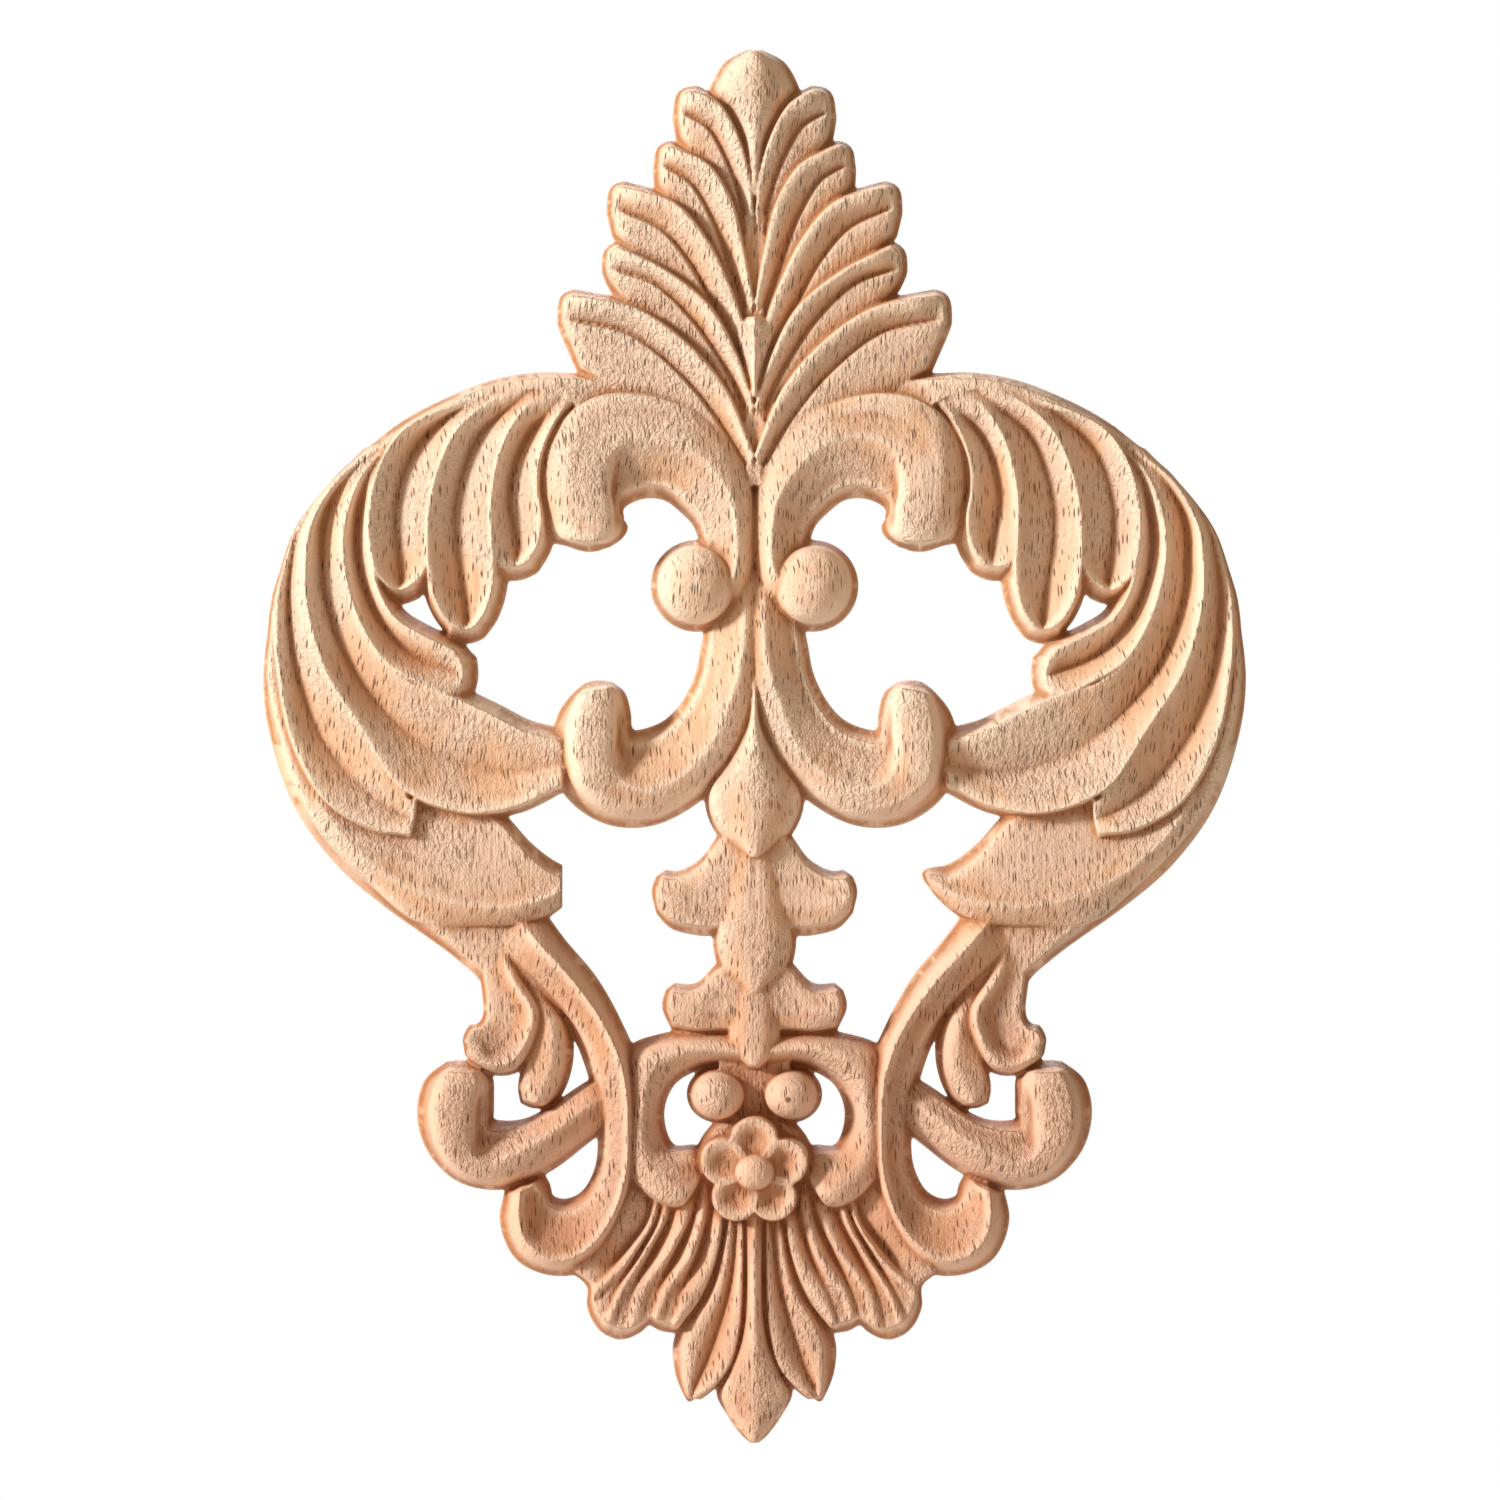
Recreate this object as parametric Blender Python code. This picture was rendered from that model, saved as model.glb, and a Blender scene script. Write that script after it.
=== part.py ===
"""Carved wood applique: one pierced panel of scrolls, leaves and a flower, in metres.

The panel stands upright with its flat back on the plane y = 0 and its relief towards -Y.
X runs across it, Z up it, and the origin is the middle of the back.
Every form is a net of stations: cross-sections with a few named lines, such as crest, vein
and edge. Plan points are (x, z) in millimetres on the right half, and a mirrored copy makes
the left. The forms are then merged into one body and its back is cut flat.
"""

import math

import bmesh
import bpy
from mathutils import Matrix, Vector

MM = 0.001

# Driving dimensions, in millimetres
WALL = 3.0           # run of the sloping outer wall, seen from the front
STEP = 1.8           # run of the steep flank where one leaf overlaps the next
SKIRT = 1.0          # how far every form runs past the back before the back is cut flat
RIM = 6.0            # height of the face at the outline
CREST = 10.0         # height of a leaf's or a scroll's crest
BULB = 11.5          # height of the rounded forms
HOLLOW = 4.6         # height of the bottom of a flute
BALL = 13.0          # height of the balls

CUT_REACH = 200.0    # how far the box that cuts the back flat reaches from the middle
BLUNT_TIP = ((-41.4, -37.0), (-29.4, -22.0))  # box that cuts the tip of the left broad leaf off square

NET_GAP = 2.5        # longest gap between two points of a form's net
ROUND_STEPS = 36     # sides of a ball

GRAIN = 0.75         # size of the cells in which the forms are merged into one body
FACETS_KEPT = 0.0225  # share of the triangles kept after the forms are merged

WOOD_COLOUR = (0.74, 0.47, 0.30, 1.0)
WOOD_ROUGHNESS = 0.62


def clear_scene():
    for thing in list(bpy.data.objects):
        bpy.data.objects.remove(thing)


def pull(start, end):
    if isinstance(start, Vector):
        return max((end - start).length, 0.001) ** 0.5
    return 1.0


def along(values, place):
    """Read the curve at a place counted in values: 1.5 is halfway from the second to the third."""
    last = len(values) - 1
    if last == 0:
        return values[0]
    first = max(0, min(int(place), last - 1))
    share = place - first
    start = values[first]
    end = values[first + 1]
    if last == 1:
        return start + (end - start) * share
    before = values[first - 1] if first else 2.0 * start - end
    after = values[first + 2] if first + 2 <= last else 2.0 * end - start
    left = pull(before, start)
    here = pull(start, end)
    right = pull(end, after)
    leaving = ((start - before) / left - (end - before) / (left + here) + (end - start) / here) * here
    arriving = ((end - start) / here - (after - start) / (here + right) + (after - end) / right) * here
    square = share * share
    cube = square * share
    return (start * (2.0 * cube - 3.0 * square + 1.0) + leaving * (cube - 2.0 * square + share)
            + end * (3.0 * square - 2.0 * cube) + arriving * (cube - square))


def inset(wall, span):
    return min(max(wall, 0.0) / span, 0.45)


def wall_run(wall):
    """How far the foot of a wall lies outside the drawn edge."""
    return max(-wall, 0.0) + abs(wall) * SKIRT / (RIM + SKIRT)


def outward(before, after, edge, inner):
    """Unit vector square to the edge, seen from the front, that points away from the face."""
    run = after - before
    square = Vector((run.y, -run.x)).normalized()
    return square if square.dot(edge - inner) > 0.0 else -square


def places_along(stations, ends):
    middle = len(stations[0]) // 2
    spans = [(following[middle] - station[middle]).length
             for station, following in zip(stations, stations[1:])]
    near = inset(ends[0], spans[0])
    far = len(spans) - inset(ends[1], spans[-1])
    inner = []
    for number, span in enumerate(spans):
        steps = math.ceil(span / NET_GAP)
        inner += [number + step / steps for step in range(steps)]
    margin = 0.1
    kept = [place for place in inner if near + margin < place < far - margin]
    return [0.0, near] + kept + [far, float(len(spans))]


def columns_per_strip(stations):
    widths = [max((station[line + 1] - station[line]).length for station in stations)
              for line in range(len(stations[0]) - 1)]
    return [math.ceil(width / NET_GAP) for width in widths]


def face_row(section, walls, columns):
    """Points across a section from rim to rim."""
    count = len(section) - 1
    near = inset(walls[0], (section[1] - section[0]).length)
    far = count - inset(walls[1], (section[-1] - section[-2]).length)
    lines = [near] + [float(line) for line in range(1, count)] + [far]
    row = []
    for strip, steps in enumerate(columns):
        for step in range(steps):
            share = step / steps
            row.append(along(section, lines[strip] * (1.0 - share) + lines[strip + 1] * share))
    return row + [along(section, far)]


def level_row(heights, swell, columns):
    """Heights across a section; swell raises the middle of a strip above the straight line."""
    row = []
    for strip, steps in enumerate(columns):
        for step in range(steps):
            share = step / steps
            row.append(heights[strip] * (1.0 - share) + heights[strip + 1] * share
                       + swell[strip] * 4.0 * share * (1.0 - share))
    return row + [heights[-1]]


def side_feet(sections, edge, inner, wall):
    """Foot points beside every section, and the directions in which they were moved out."""
    last = len(sections) - 1
    aims = [outward(sections[max(number - 2, 0)][edge], sections[min(number + 2, last)][edge],
                    section[edge], section[inner]) for number, section in enumerate(sections)]
    return [section[edge] + aim * wall_run(wall) for section, aim in zip(sections, aims)], aims


def end_feet(row, inner_row, wall):
    last = len(row) - 1
    aims = [outward(row[max(number - 1, 0)], row[min(number + 1, last)], point, inner)
            for number, (point, inner) in enumerate(zip(row, inner_row))]
    return [point + aim * wall_run(wall) for point, aim in zip(row, aims)], aims


def round_corner(corner, side_aim, end_aim, side_wall, end_wall):
    return corner + (side_aim + end_aim).normalized() * 0.5 * (wall_run(side_wall) + wall_run(end_wall))


def with_feet(sections, faces, walls, ends):
    """Add the foot of all four walls around the face rows."""
    left, left_aims = side_feet(sections, 0, 1, walls[0])
    right, right_aims = side_feet(sections, -1, -2, walls[1])
    rows = [list(row) for row in faces]
    for end, inner, wall in ((0, 2, ends[0]), (-1, -3, ends[1])):
        rows[end], aims = end_feet(faces[end], faces[inner], wall)
        left[end] = round_corner(sections[end][0], left_aims[end], aims[0], walls[0], wall)
        right[end] = round_corner(sections[end][-1], right_aims[end], aims[-1], walls[1], wall)
    return [[near] + row + [far] for near, row, far in zip(left, rows, right)]


def fill_foot(form, ring):
    edges = dict.fromkeys(edge for vert in ring for edge in vert.link_edges)
    bmesh.ops.edgeloop_fill(form, edges=[edge for edge in edges if edge.is_boundary])


def per_station(values, count):
    return values if isinstance(values[0], (tuple, list)) else (values,) * count


def carve(form, stations, heights, lift=None, walls=(WALL, WALL), ends=(WALL, WALL), swell=None):
    """Add one carved body. A negative wall lies outside its crest line, 0 is upright."""
    count = len(stations)
    stations = [[Vector(point) for point in section] for section in stations]
    heights = [[height * factor for height in section]
               for section, factor in zip(per_station(heights, count), lift or (1.0,) * count)]
    swell = per_station(swell or (0.0,) * (len(stations[0]) - 1), count)
    columns = columns_per_strip(stations)
    places = places_along(stations, ends)
    sections = [[along(line, place) for line in zip(*stations)] for place in places]
    faces = [face_row(section, walls, columns) for section in sections]
    net = []
    rows = with_feet(sections, faces, walls, ends)
    for place, row in zip(places, rows):
        levels = [-SKIRT] * len(row)
        if 0 < len(net) < (len(rows) - 1) * len(row):
            levels[1:-1] = level_row([along(line, place) for line in zip(*heights)],
                                     [along(line, place) for line in zip(*swell)], columns)
        net += [(point.x * MM, -level * MM, point.y * MM) for point, level in zip(row, levels)]
    grid = bmesh.ops.create_grid(form, x_segments=len(rows[0]) - 1, y_segments=len(rows) - 1, size=1.0)["verts"]
    for vert, place in zip(grid, net):
        vert.co = place
    fill_foot(form, grid)
    bmesh.ops.remove_doubles(form, verts=grid, dist=0.01 * MM)


def on_axis(outline):
    """Stations of a form on the centre line, from the points of its right outline."""
    return [((-x, z), (0.0, z), (x, z)) for x, z in outline]


def linked(vert):
    """All vertices of the body that a vertex belongs to."""
    found = {vert: None}
    open_ends = [vert]
    while open_ends:
        here = open_ends.pop()
        for edge in here.link_edges:
            other = edge.other_vert(here)
            if other not in found:
                found[other] = None
                open_ends.append(other)
    return list(found)


def dome(form, centre, radii, height, rim=RIM, wall=1.5, dish=0.0):
    foot_run = wall * SKIRT / rim
    profile = [(0.0, -SKIRT), (1.0 + foot_run / radii[0], -SKIRT), (1.0 - wall / radii[0], rim)]
    start = profile[-1][0]
    steps = 12
    for step in range(1, steps + 1):
        turn = math.radians(90.0 * step / steps)
        if dish:
            share = start * (1.0 - step / steps)
            profile.append((share, rim - dish * math.sin(turn) ** 2))
        else:
            profile.append((start * math.cos(turn), rim + (height - rim) * math.sin(turn)))
    verts = [form.verts.new((share * radii[0] * MM, -level * MM, 0.0)) for share, level in profile]
    edges = [form.edges.new(pair) for pair in zip(verts, verts[1:])]
    bmesh.ops.spin(form, geom=verts + edges, cent=(0, 0, 0), axis=(0, 1, 0), angle=2.0 * math.pi,
                   steps=ROUND_STEPS, use_merge=True)
    whole = linked(verts[0])
    place = Matrix.Translation((centre[0] * MM, 0.0, centre[1] * MM)) @ Matrix.Diagonal(
        (1.0, 1.0, radii[1] / radii[0], 1.0))
    bmesh.ops.transform(form, matrix=place, verts=whole)
    bmesh.ops.remove_doubles(form, verts=whole, dist=0.001 * MM)


PALMETTE_LEAVES = (
    (((1.0, 116), (2.0, 109), (2.5, 104)), ((1.4, 123.5), (3.2, 117.5), (5, 112)),
     ((3.8, 131), (6.2, 126), (8.5, 120)), ((7.5, 137.3), (10.2, 133), (13, 126.5)),
     ((13.6, 141.7), (16.8, 140.7), (17.8, 136.6), (17.2, 130.8))),
    (((0.4, 95), (2, 92), (4, 90)), ((2.5, 107), (6, 105), (9.5, 103)),
     ((5.2, 117), (9.5, 114), (13, 110)), ((10, 124.5), (14, 121.3), (17.5, 115.5)),
     ((19.6, 129.9), (21.4, 129), (22.1, 125.5), (21.8, 120.4))),
    (((2, 87), (3.6, 84), (5.5, 82)), ((5.8, 99.5), (9.5, 96), (12, 92.5)),
     ((10.2, 108.3), (14, 104), (17.5, 99.5)), ((17, 116.2), (20, 111), (23.5, 104)),
     ((29.6, 121.2), (31.6, 120.2), (32.2, 116.5), (31, 109.8))),
    (((0.5, 74), (1.4, 70.5), (2, 66)), ((4, 84), (6, 80.5), (8, 77)),
     ((10, 94.5), (13.5, 91.8), (16, 85.5)), ((19, 101.8), (21.5, 99.3), (24.5, 92)),
     ((31.4, 107.7), (33.1, 106.4), (33.3, 102.8), (31.8, 98.6))),
    (((0.8, 64.5), (1.5, 60.5), (2.2, 55)), ((6, 76), (8.5, 71), (11, 64.5)),
     ((14, 85.7), (17, 81), (20.5, 72.5)), ((25, 93.5), (27, 88.6), (29, 76)),
     ((40.2, 97.8), (42.3, 96.8), (42.9, 92.3), (38.3, 80.6))),
)
# Heights of crest, slope, vein, the step beside it and the lower edge
LEAF_HEIGHTS = (CREST, 9.0, 5.9, 7.5, RIM)
TIP_HEIGHTS = (8.6, 8.5, 7.7, 7.5, RIM)
VEIN_STEP = 1.0
VEIN_END = 3.72      # place along the leaf where the vein stops


def leaf_section(crest, vein, edge, slope=None):
    drawn = [Vector(crest), Vector(vein), Vector(edge)]
    step = along(drawn, 1.0 + VEIN_STEP / (drawn[2] - drawn[1]).length)
    return (drawn[0], Vector(slope) if slope else along(drawn, 0.5), drawn[1], step, drawn[2])


def palmette(form):
    for *sections, (crest, shoulder, vein, edge) in PALMETTE_LEAVES:
        lines = [[Vector(point) for point in line] for line in zip(*sections, (crest, vein, edge))]
        stations = [leaf_section(*section) for section in sections]
        stations.append(leaf_section(*[along(line, VEIN_END) for line in lines]))
        stations.append(leaf_section(crest, vein, edge, slope=shoulder))
        carve(form, stations, heights=(LEAF_HEIGHTS,) * 5 + (TIP_HEIGHTS,),
              lift=(0.8, 0.9, 1.0, 1.0, 0.98, 0.94), walls=(-STEP, -STEP), ends=(0, WALL),
              swell=(0.45, 0.35, 0, 0.5))


def palmette_middle(form):
    valley = on_axis(((1.8, 140), (2.0, 118), (2.2, 100), (2.2, 80), (1.6, 57)))
    carve(form, valley, heights=(7.5, 6.8, 7.5), walls=(0, 0), ends=(0, 0))
    bud = on_axis(((1.2, 92.7), (4.6, 90.2), (3.3, 84), (0.9, 75)))
    carve(form, bud, heights=(7.5, CREST, 7.5), walls=(0.8, 0.8), ends=(0.8, 0))
    top = on_axis(((1.5, 150), (6.4, 147.4), (9.1, 143.2), (9.9, 140.3), (8.4, 137), (5.2, 131),
                   (3, 124), (0.9, 118)))
    carve(form, top, heights=(RIM, BULB, RIM), lift=(0.6, 0.9, 1.0, 1.0, 0.96, 0.9, 0.8, 0.7),
          walls=(2.0, 2.0), ends=(1.5, 0), swell=(1.4, 1.4))


UPPER_SCROLL = (((6, 27.2), (7.2, 28.4), (8.4, 29.6), (12, 32)),
                ((2.2, 32.2), (3.8, 33.4), (5.4, 34.6), (12, 37)),
                ((0.3, 40), (2, 40), (3.8, 40), (11.5, 41.5)),
                ((0.4, 52), (2.6, 52.3), (4.9, 52.5), (13, 47.2)),
                ((4.2, 63.4), (6.8, 62), (9.5, 59.8), (16, 50.4)),
                ((13, 71.8), (14.5, 69), (16, 65), (19.5, 52.9)),
                ((25, 75.4), (24.2, 71.5), (23.3, 66), (24, 53.2)),
                ((36, 73.8), (33.2, 69), (29.5, 64), (28.4, 50.9)),
                ((43.6, 66), (38, 61.5), (31.8, 58.5), (28.3, 48.8)),
                ((45.6, 56), (38.3, 52.5), (31.2, 50.5), (27.5, 46.8)),
                ((43.6, 47), (37, 46), (31.5, 46), (28.6, 45)),
                ((40.5, 43.2), (36.5, 42), (34, 42.1), (31.5, 43)))
LOWER_SCROLL = (((-2.6, 38), (-0.4, 38), (2.2, 38), (9, 34)),
                ((-2.6, 20), (0, 20), (2.6, 20), (11.4, 22)),
                ((-1.5, 7), (2, 8.2), (5.3, 9.5), (12.6, 15.8)),
                ((3, -3), (6.2, -1.3), (9.3, 0.5), (15.5, 9.8)),
                ((12, -12), (13.7, -9), (15.5, -6.2), (19, 5.9)),
                ((22, -17.1), (22, -13), (22, -9.2), (23, 4)),
                ((32, -16.8), (30.2, -12.3), (27.8, -7.8), (26, 3.6)),
                ((40.6, -11), (36, -7), (30.6, -3), (26.6, 4.4)),
                ((44.2, -2), (37.6, 0), (30.6, 2.5), (26.8, 7)),
                ((42.3, 7), (36.5, 8.3), (31.2, 9.8), (28.2, 11.5)),
                ((38, 12.3), (35.8, 13.8), (33.3, 14.1), (31, 13.7)))
ARM = (((30, -81), (30.6, -78.5), (31.4, -75), (32, -70)),
       ((36, -85.7), (36.8, -82), (37.4, -78.5), (37.5, -73.2)),
       ((43, -91), (43.6, -87), (44.2, -83.5), (44, -77.7)),
       ((50, -94.6), (50.4, -90.5), (50.8, -87), (49.4, -80.4)),
       ((57, -95.5), (56.8, -92.5), (57, -89.5), (53.8, -80.8)),
       ((64.5, -93.4), (62.8, -90.6), (60.4, -87.6), (56.3, -80.2)),
       ((70.6, -87), (66.3, -85), (61.2, -83.2), (56.3, -78.6)),
       ((72.7, -79), (67.3, -78.5), (60.9, -78), (56.3, -75.4)),
       ((71, -72), (66, -72.3), (60.4, -72.6), (56.6, -71.5)),
       ((66, -68), (64, -67.8), (61.6, -67.9), (59, -68.4)))
# Heights from the outer edge over the outer flank, the crest and the inner face to the inner edge
SCROLL_BAND = (RIM, 8.6, CREST, 7.3, RIM)
SCROLL_TURN = (RIM, 9.6, 10.6, 7.4, RIM)
SCROLL_HEAD = (6.4, 11.8, 11.2, 7.6, RIM)
SCROLL_CROWN = (6.4, 11.4, 10.8, 9.4, 7.4)
SCROLL_TIP = (6.2, 9.4, 9.4, 8.6, 7.0)
BAND_SWELL = (0.2, 0.1, 0.0, -0.3)
HEAD_SWELL = (1.5, 0.5, -0.2, -0.2)
HEAD_STATIONS = 4
# The upper scroll's outer edge rises to the top band of the outer leaf
UPPER_EDGE = (6.0, 6.0, 6.0, 6.0, 6.2, 7.2, 8.2, 8.4, 7.4, 6.6, 6.4, 6.2)


def scroll(form, stations, outer_wall, root_lift=1.0, edge=None):
    bands = len(stations) - HEAD_STATIONS - 1
    heights = ((SCROLL_BAND,) * bands + (SCROLL_TURN,) + (SCROLL_HEAD,) * (HEAD_STATIONS - 2)
               + (SCROLL_CROWN, SCROLL_TIP))
    if edge:
        heights = tuple((level,) + section[1:] for level, section in zip(edge, heights))
    flank = (0.5,) * bands + (0.3,) * (HEAD_STATIONS + 1)
    with_flank = []
    for (outer, middle, crest, inner), share in zip(stations, flank):
        foot = Vector(crest).lerp(Vector(inner), share)
        with_flank.append((outer, middle, crest, foot, inner))
    carve(form, with_flank, heights, lift=(root_lift,) + (1.0,) * (len(stations) - 1),
          walls=(outer_wall, WALL), ends=(0, 2.2),
          swell=(BAND_SWELL,) * (bands + 1) + (HEAD_SWELL,) * HEAD_STATIONS)


def scrolls(form):
    scroll(form, UPPER_SCROLL, -STEP, edge=UPPER_EDGE)
    scroll(form, LOWER_SCROLL, WALL, root_lift=0.6)
    dome(form, (12.5, 34.5), (9.9, 9.9), BALL)


def arm(form):
    scroll(form, ARM, WALL, root_lift=0.5)


FLUTE_A = (((32, 76.8), (36, 77.2), (41, 77.6)), ((38.5, 74.4), (41.4, 73.8), (46.5, 75.2)),
           ((43.4, 68.5), (47.4, 68.3), (52.2, 68.5)), ((45.9, 62), (51, 61.6), (55.2, 61)),
           ((46.5, 55), (52.6, 53), (56.6, 51.5)), ((45.6, 49), (51.8, 47.5), (56.5, 45)),
           ((46.4, 43.4), (51, 42), (56.2, 41.5)), ((48.4, 39.8), (51.2, 38.6), (54.6, 38.8)))
FLUTE_B = (((41, 77.6), (45.5, 77.6), (50, 77)), ((46.5, 75.2), (50.2, 74.3), (56.5, 74.4)),
           ((52.2, 68.5), (58.4, 67.6), (63.7, 68)), ((55.2, 61), (62, 60.5), (67.7, 60)),
           ((56.6, 51.5), (64.2, 51.5), (69.9, 50.5)), ((56.5, 45), (64.2, 44), (70.2, 44)),
           ((55.8, 39), (63.2, 37), (70, 38.5)), ((56.4, 33), (62.2, 31), (69, 32.6)),
           ((58, 28.4), (61.8, 26.8), (67, 28.2)), ((59.8, 25.8), (62, 25), (65, 25.7)))
FLUTE_C = (((50, 77), (55, 76.2), (60, 74.8)), ((56.5, 74.4), (61.5, 73.4), (67.4, 72.2)),
           ((63.7, 68), (70, 67.2), (75.6, 67.4)), ((67.7, 60), (74.6, 60.5), (80.4, 60)),
           ((69.9, 50.5), (77, 51.5), (82.5, 51.5)), ((70.2, 44), (77, 44.5), (82.6, 44.5)),
           ((70.3, 40), (76.2, 38.8), (81.9, 40)), ((71.2, 36.9), (75.9, 35.2), (80.8, 36.6)),
           ((73.6, 34.5), (76.4, 33.5), (79, 34.4)))
FLUTE_D = (((73.2, 69.2), (74.6, 68.3), (76, 67.2)), ((80.4, 60), (82.4, 59), (84.2, 58.3)),
           ((82.5, 51.5), (85, 50), (87.4, 49.5)), ((82.5, 43), (85.4, 42), (88.3, 42.5)),
           ((80.7, 34), (84, 34.5), (87, 34)), ((77, 27.5), (80.6, 27), (84, 25.5)),
           ((72, 24.2), (76, 21.6), (79, 18)), ((67.5, 22), (70.5, 18), (72, 13.6)),
           ((64.3, 20.3), (65.6, 16.4), (66.6, 11.2)), ((62.8, 18.6), (62.5, 15), (63.6, 11)))
LONG_LEAF = (((76, 67.2), (77.6, 66.2), (79.2, 65)), ((84.2, 58.3), (87, 58.2), (89.2, 57)),
             ((87.4, 49.5), (92, 49.5), (95, 47.5)), ((88, 40), (92.9, 40), (96.2, 39)),
             ((86.5, 31), (92.2, 32), (96, 31)), ((81, 19.5), (87.5, 18.5), (92, 16.5)),
             ((73.2, 13.2), (79, 7), (84, 3.5)), ((65.4, 10.8), (69.5, -0.8), (75.5, -9)),
             ((56, 6.5), (60, -4.5), (62, -14.2)), ((49.5, 3.2), (51.5, -5.5), (51, -12.9)),
             ((44.5, 0), (43.8, -4), (44, -7.8)))
BLUNT_FLUTE = (((78.8, 65.4), (81.3, 64.8), (84, 63.9)), ((89.2, 57), (91.6, 55.8), (93.7, 53.7)),
               ((95, 47.5), (97.6, 47), (99, 46.3)), ((96.2, 39), (99.6, 38.8), (102, 38.2)),
               ((96, 31), (100.2, 30.6), (104.3, 29.8)), ((92, 16.5), (98.4, 15.5), (105.6, 14.5)),
               ((84, 3.5), (93, 1.8), (101.6, -0.5)), ((77.6, -6), (85, -8.4), (94, -13.6)),
               ((74, -11.4), (78.4, -13.6), (82.6, -20.6)), ((72.6, -11.8), (73, -16), (74.6, -21.6)))
TOP_BAND = (((27, 79.2), (30, 72)), ((34, 80), (36, 71.8)), ((40, 80.4), (40.4, 74.6)),
            ((48, 80.4), (47.4, 76.6)), ((56, 79), (54.8, 75.2)), ((65, 75.7), (63.4, 72.4)),
            ((75, 70.6), (73, 67.6)), ((85, 63), (82.6, 60.4)))
OUTER_RIM = (((104.3, 29.8), (97, 29)), ((105.8, 15), (98, 15)), ((104.3, 1.5), (96, 3)),
             ((99, -13.5), (91.5, -9)), ((90, -25.8), (83.5, -19.5)), ((80, -34.5), (74.5, -27)),
             ((70, -41.7), (64, -33)), ((62, -47.5), (56, -38)))
HANGING_FLUTES = (FLUTE_A, FLUTE_B, FLUTE_C, FLUTE_D)
# Heights of left crest, hollow and right crest: at the root, where the hollow starts, along it and at the lip
FLUTE_ROOT = (8.4, 8.4, 8.4)
FLUTE_START = (9.0, 7.0, 9.2)
FLUTE_RUN = (9.3, HOLLOW, 9.7)
FLUTE_TURN = (8.8, 5.3, 9.1)
FLUTE_LIP = (7.8, 6.9, 7.8)
BLUNT_HEIGHTS = ((8.4, 8.4, 7.4), (9.0, 7.2, 6.4), (9.3, 5.6, 6.2), (9.5, 5.0, 6.6), (9.6, HOLLOW, 7.4),
                 (9.6, HOLLOW, 8.2), (9.4, HOLLOW, 8.4), (9.2, 4.9, 8.6), (8.8, 6.2, 8.6), (8.8, 7.4, 8.6))
FLUTE_SWELL = (0.3, 0.3)


def flute_heights(flute):
    runs = len(flute) - 4
    return (FLUTE_ROOT, FLUTE_START) + (FLUTE_RUN,) * runs + (FLUTE_TURN, FLUTE_LIP)


def outer_leaf(form):
    for flute in HANGING_FLUTES[:3]:
        carve(form, flute, flute_heights(flute), walls=(-2.8, -2.0), ends=(0, -WALL), swell=FLUTE_SWELL)
    carve(form, FLUTE_D, flute_heights(FLUTE_D), walls=(-2.4, -2.4), ends=(0, -WALL), swell=FLUTE_SWELL)
    carve(form, LONG_LEAF, flute_heights(LONG_LEAF), walls=(-2.6, -1.6), ends=(0, -1.0), swell=FLUTE_SWELL)
    carve(form, BLUNT_FLUTE, BLUNT_HEIGHTS, walls=(-STEP, WALL), ends=(0, -0.9), swell=FLUTE_SWELL)
    carve(form, TOP_BAND, heights=(7.0, 8.5), walls=(1.6, 0), ends=(1.6, 0))
    carve(form, OUTER_RIM, heights=(RIM, 6.2), lift=(1,) * 6 + (0.88, 0.72), walls=(WALL, 0), ends=(0, 0))


BROAD_LEAF = (((93, 8), (99, 5), (102, 1.5)), ((84, -7), (91.5, -15), (96, -16)),
              ((72, -8), (79, -27.5), (83.6, -29.8)), ((62, -9), (68, -32.7), (72.4, -38.6)),
              ((54.5, -14), (57, -34.6), (60, -39.3)), ((48, -21), (50, -34), (51, -39)),
              ((42, -25.3), (44, -32.3), (44.4, -36.9)), ((38, -26.3), (39, -29.3), (39.6, -33)),
              ((36, -27), (36.1, -27.8), (36.5, -28.8)))
BROAD_HEIGHTS = ((4.0, 5.2, 4.0), (4.4, 7.4, 5.6), (5.2, 8.0, 6.2), (5.8, 8.2, 6.2),
                 (6.4, 8.3, 6.4), (6.6, 8.2, 6.4), (6.4, 7.9, 6.2), (6.2, 7.4, 6.0), (6.0, 6.4, 6.0))


def broad_leaf(form):
    carve(form, BROAD_LEAF, BROAD_HEIGHTS, walls=(2.6, 1.2), ends=(0, 1.6), swell=(-0.3, -0.5))


def pendant(form):
    bud = on_axis(((0.4, 17), (1.6, 6), (5.6, -3.5), (9.8, -9.5), (10.4, -13),
                   (9, -17.6), (5.4, -22), (1.2, -24.9)))
    carve(form, bud, heights=(7.0, BULB, 7.0), lift=(0.7, 0.9, 1.0, 1.04, 1.04, 1.02, 0.96, 0.88),
          walls=(1.2, 1.2), ends=(0, 1.2), swell=(1.15, 1.15))
    lobe = on_axis(((5, -24), (6, -32), (6.8, -39.5), (6.6, -44), (5, -48.6), (1.6, -52)))
    carve(form, lobe, heights=(8.2, 10.2, 8.2), lift=(0.94, 0.98, 1, 1, 0.98, 0.94), walls=(-2.0, -2.0),
          ends=(0, -2.2), swell=(0.5, 0.5))
    small_lobe = on_axis(((4.2, -52), (4.8, -58), (4.5, -63), (3.4, -66), (1.2, -68.2)))
    carve(form, small_lobe, heights=(8.0, 9.6, 8.0), lift=(0.94, 0.98, 1, 0.98, 0.94), walls=(-1.9, -1.9),
          ends=(0, -1.9), swell=(0.4, 0.4))


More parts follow.
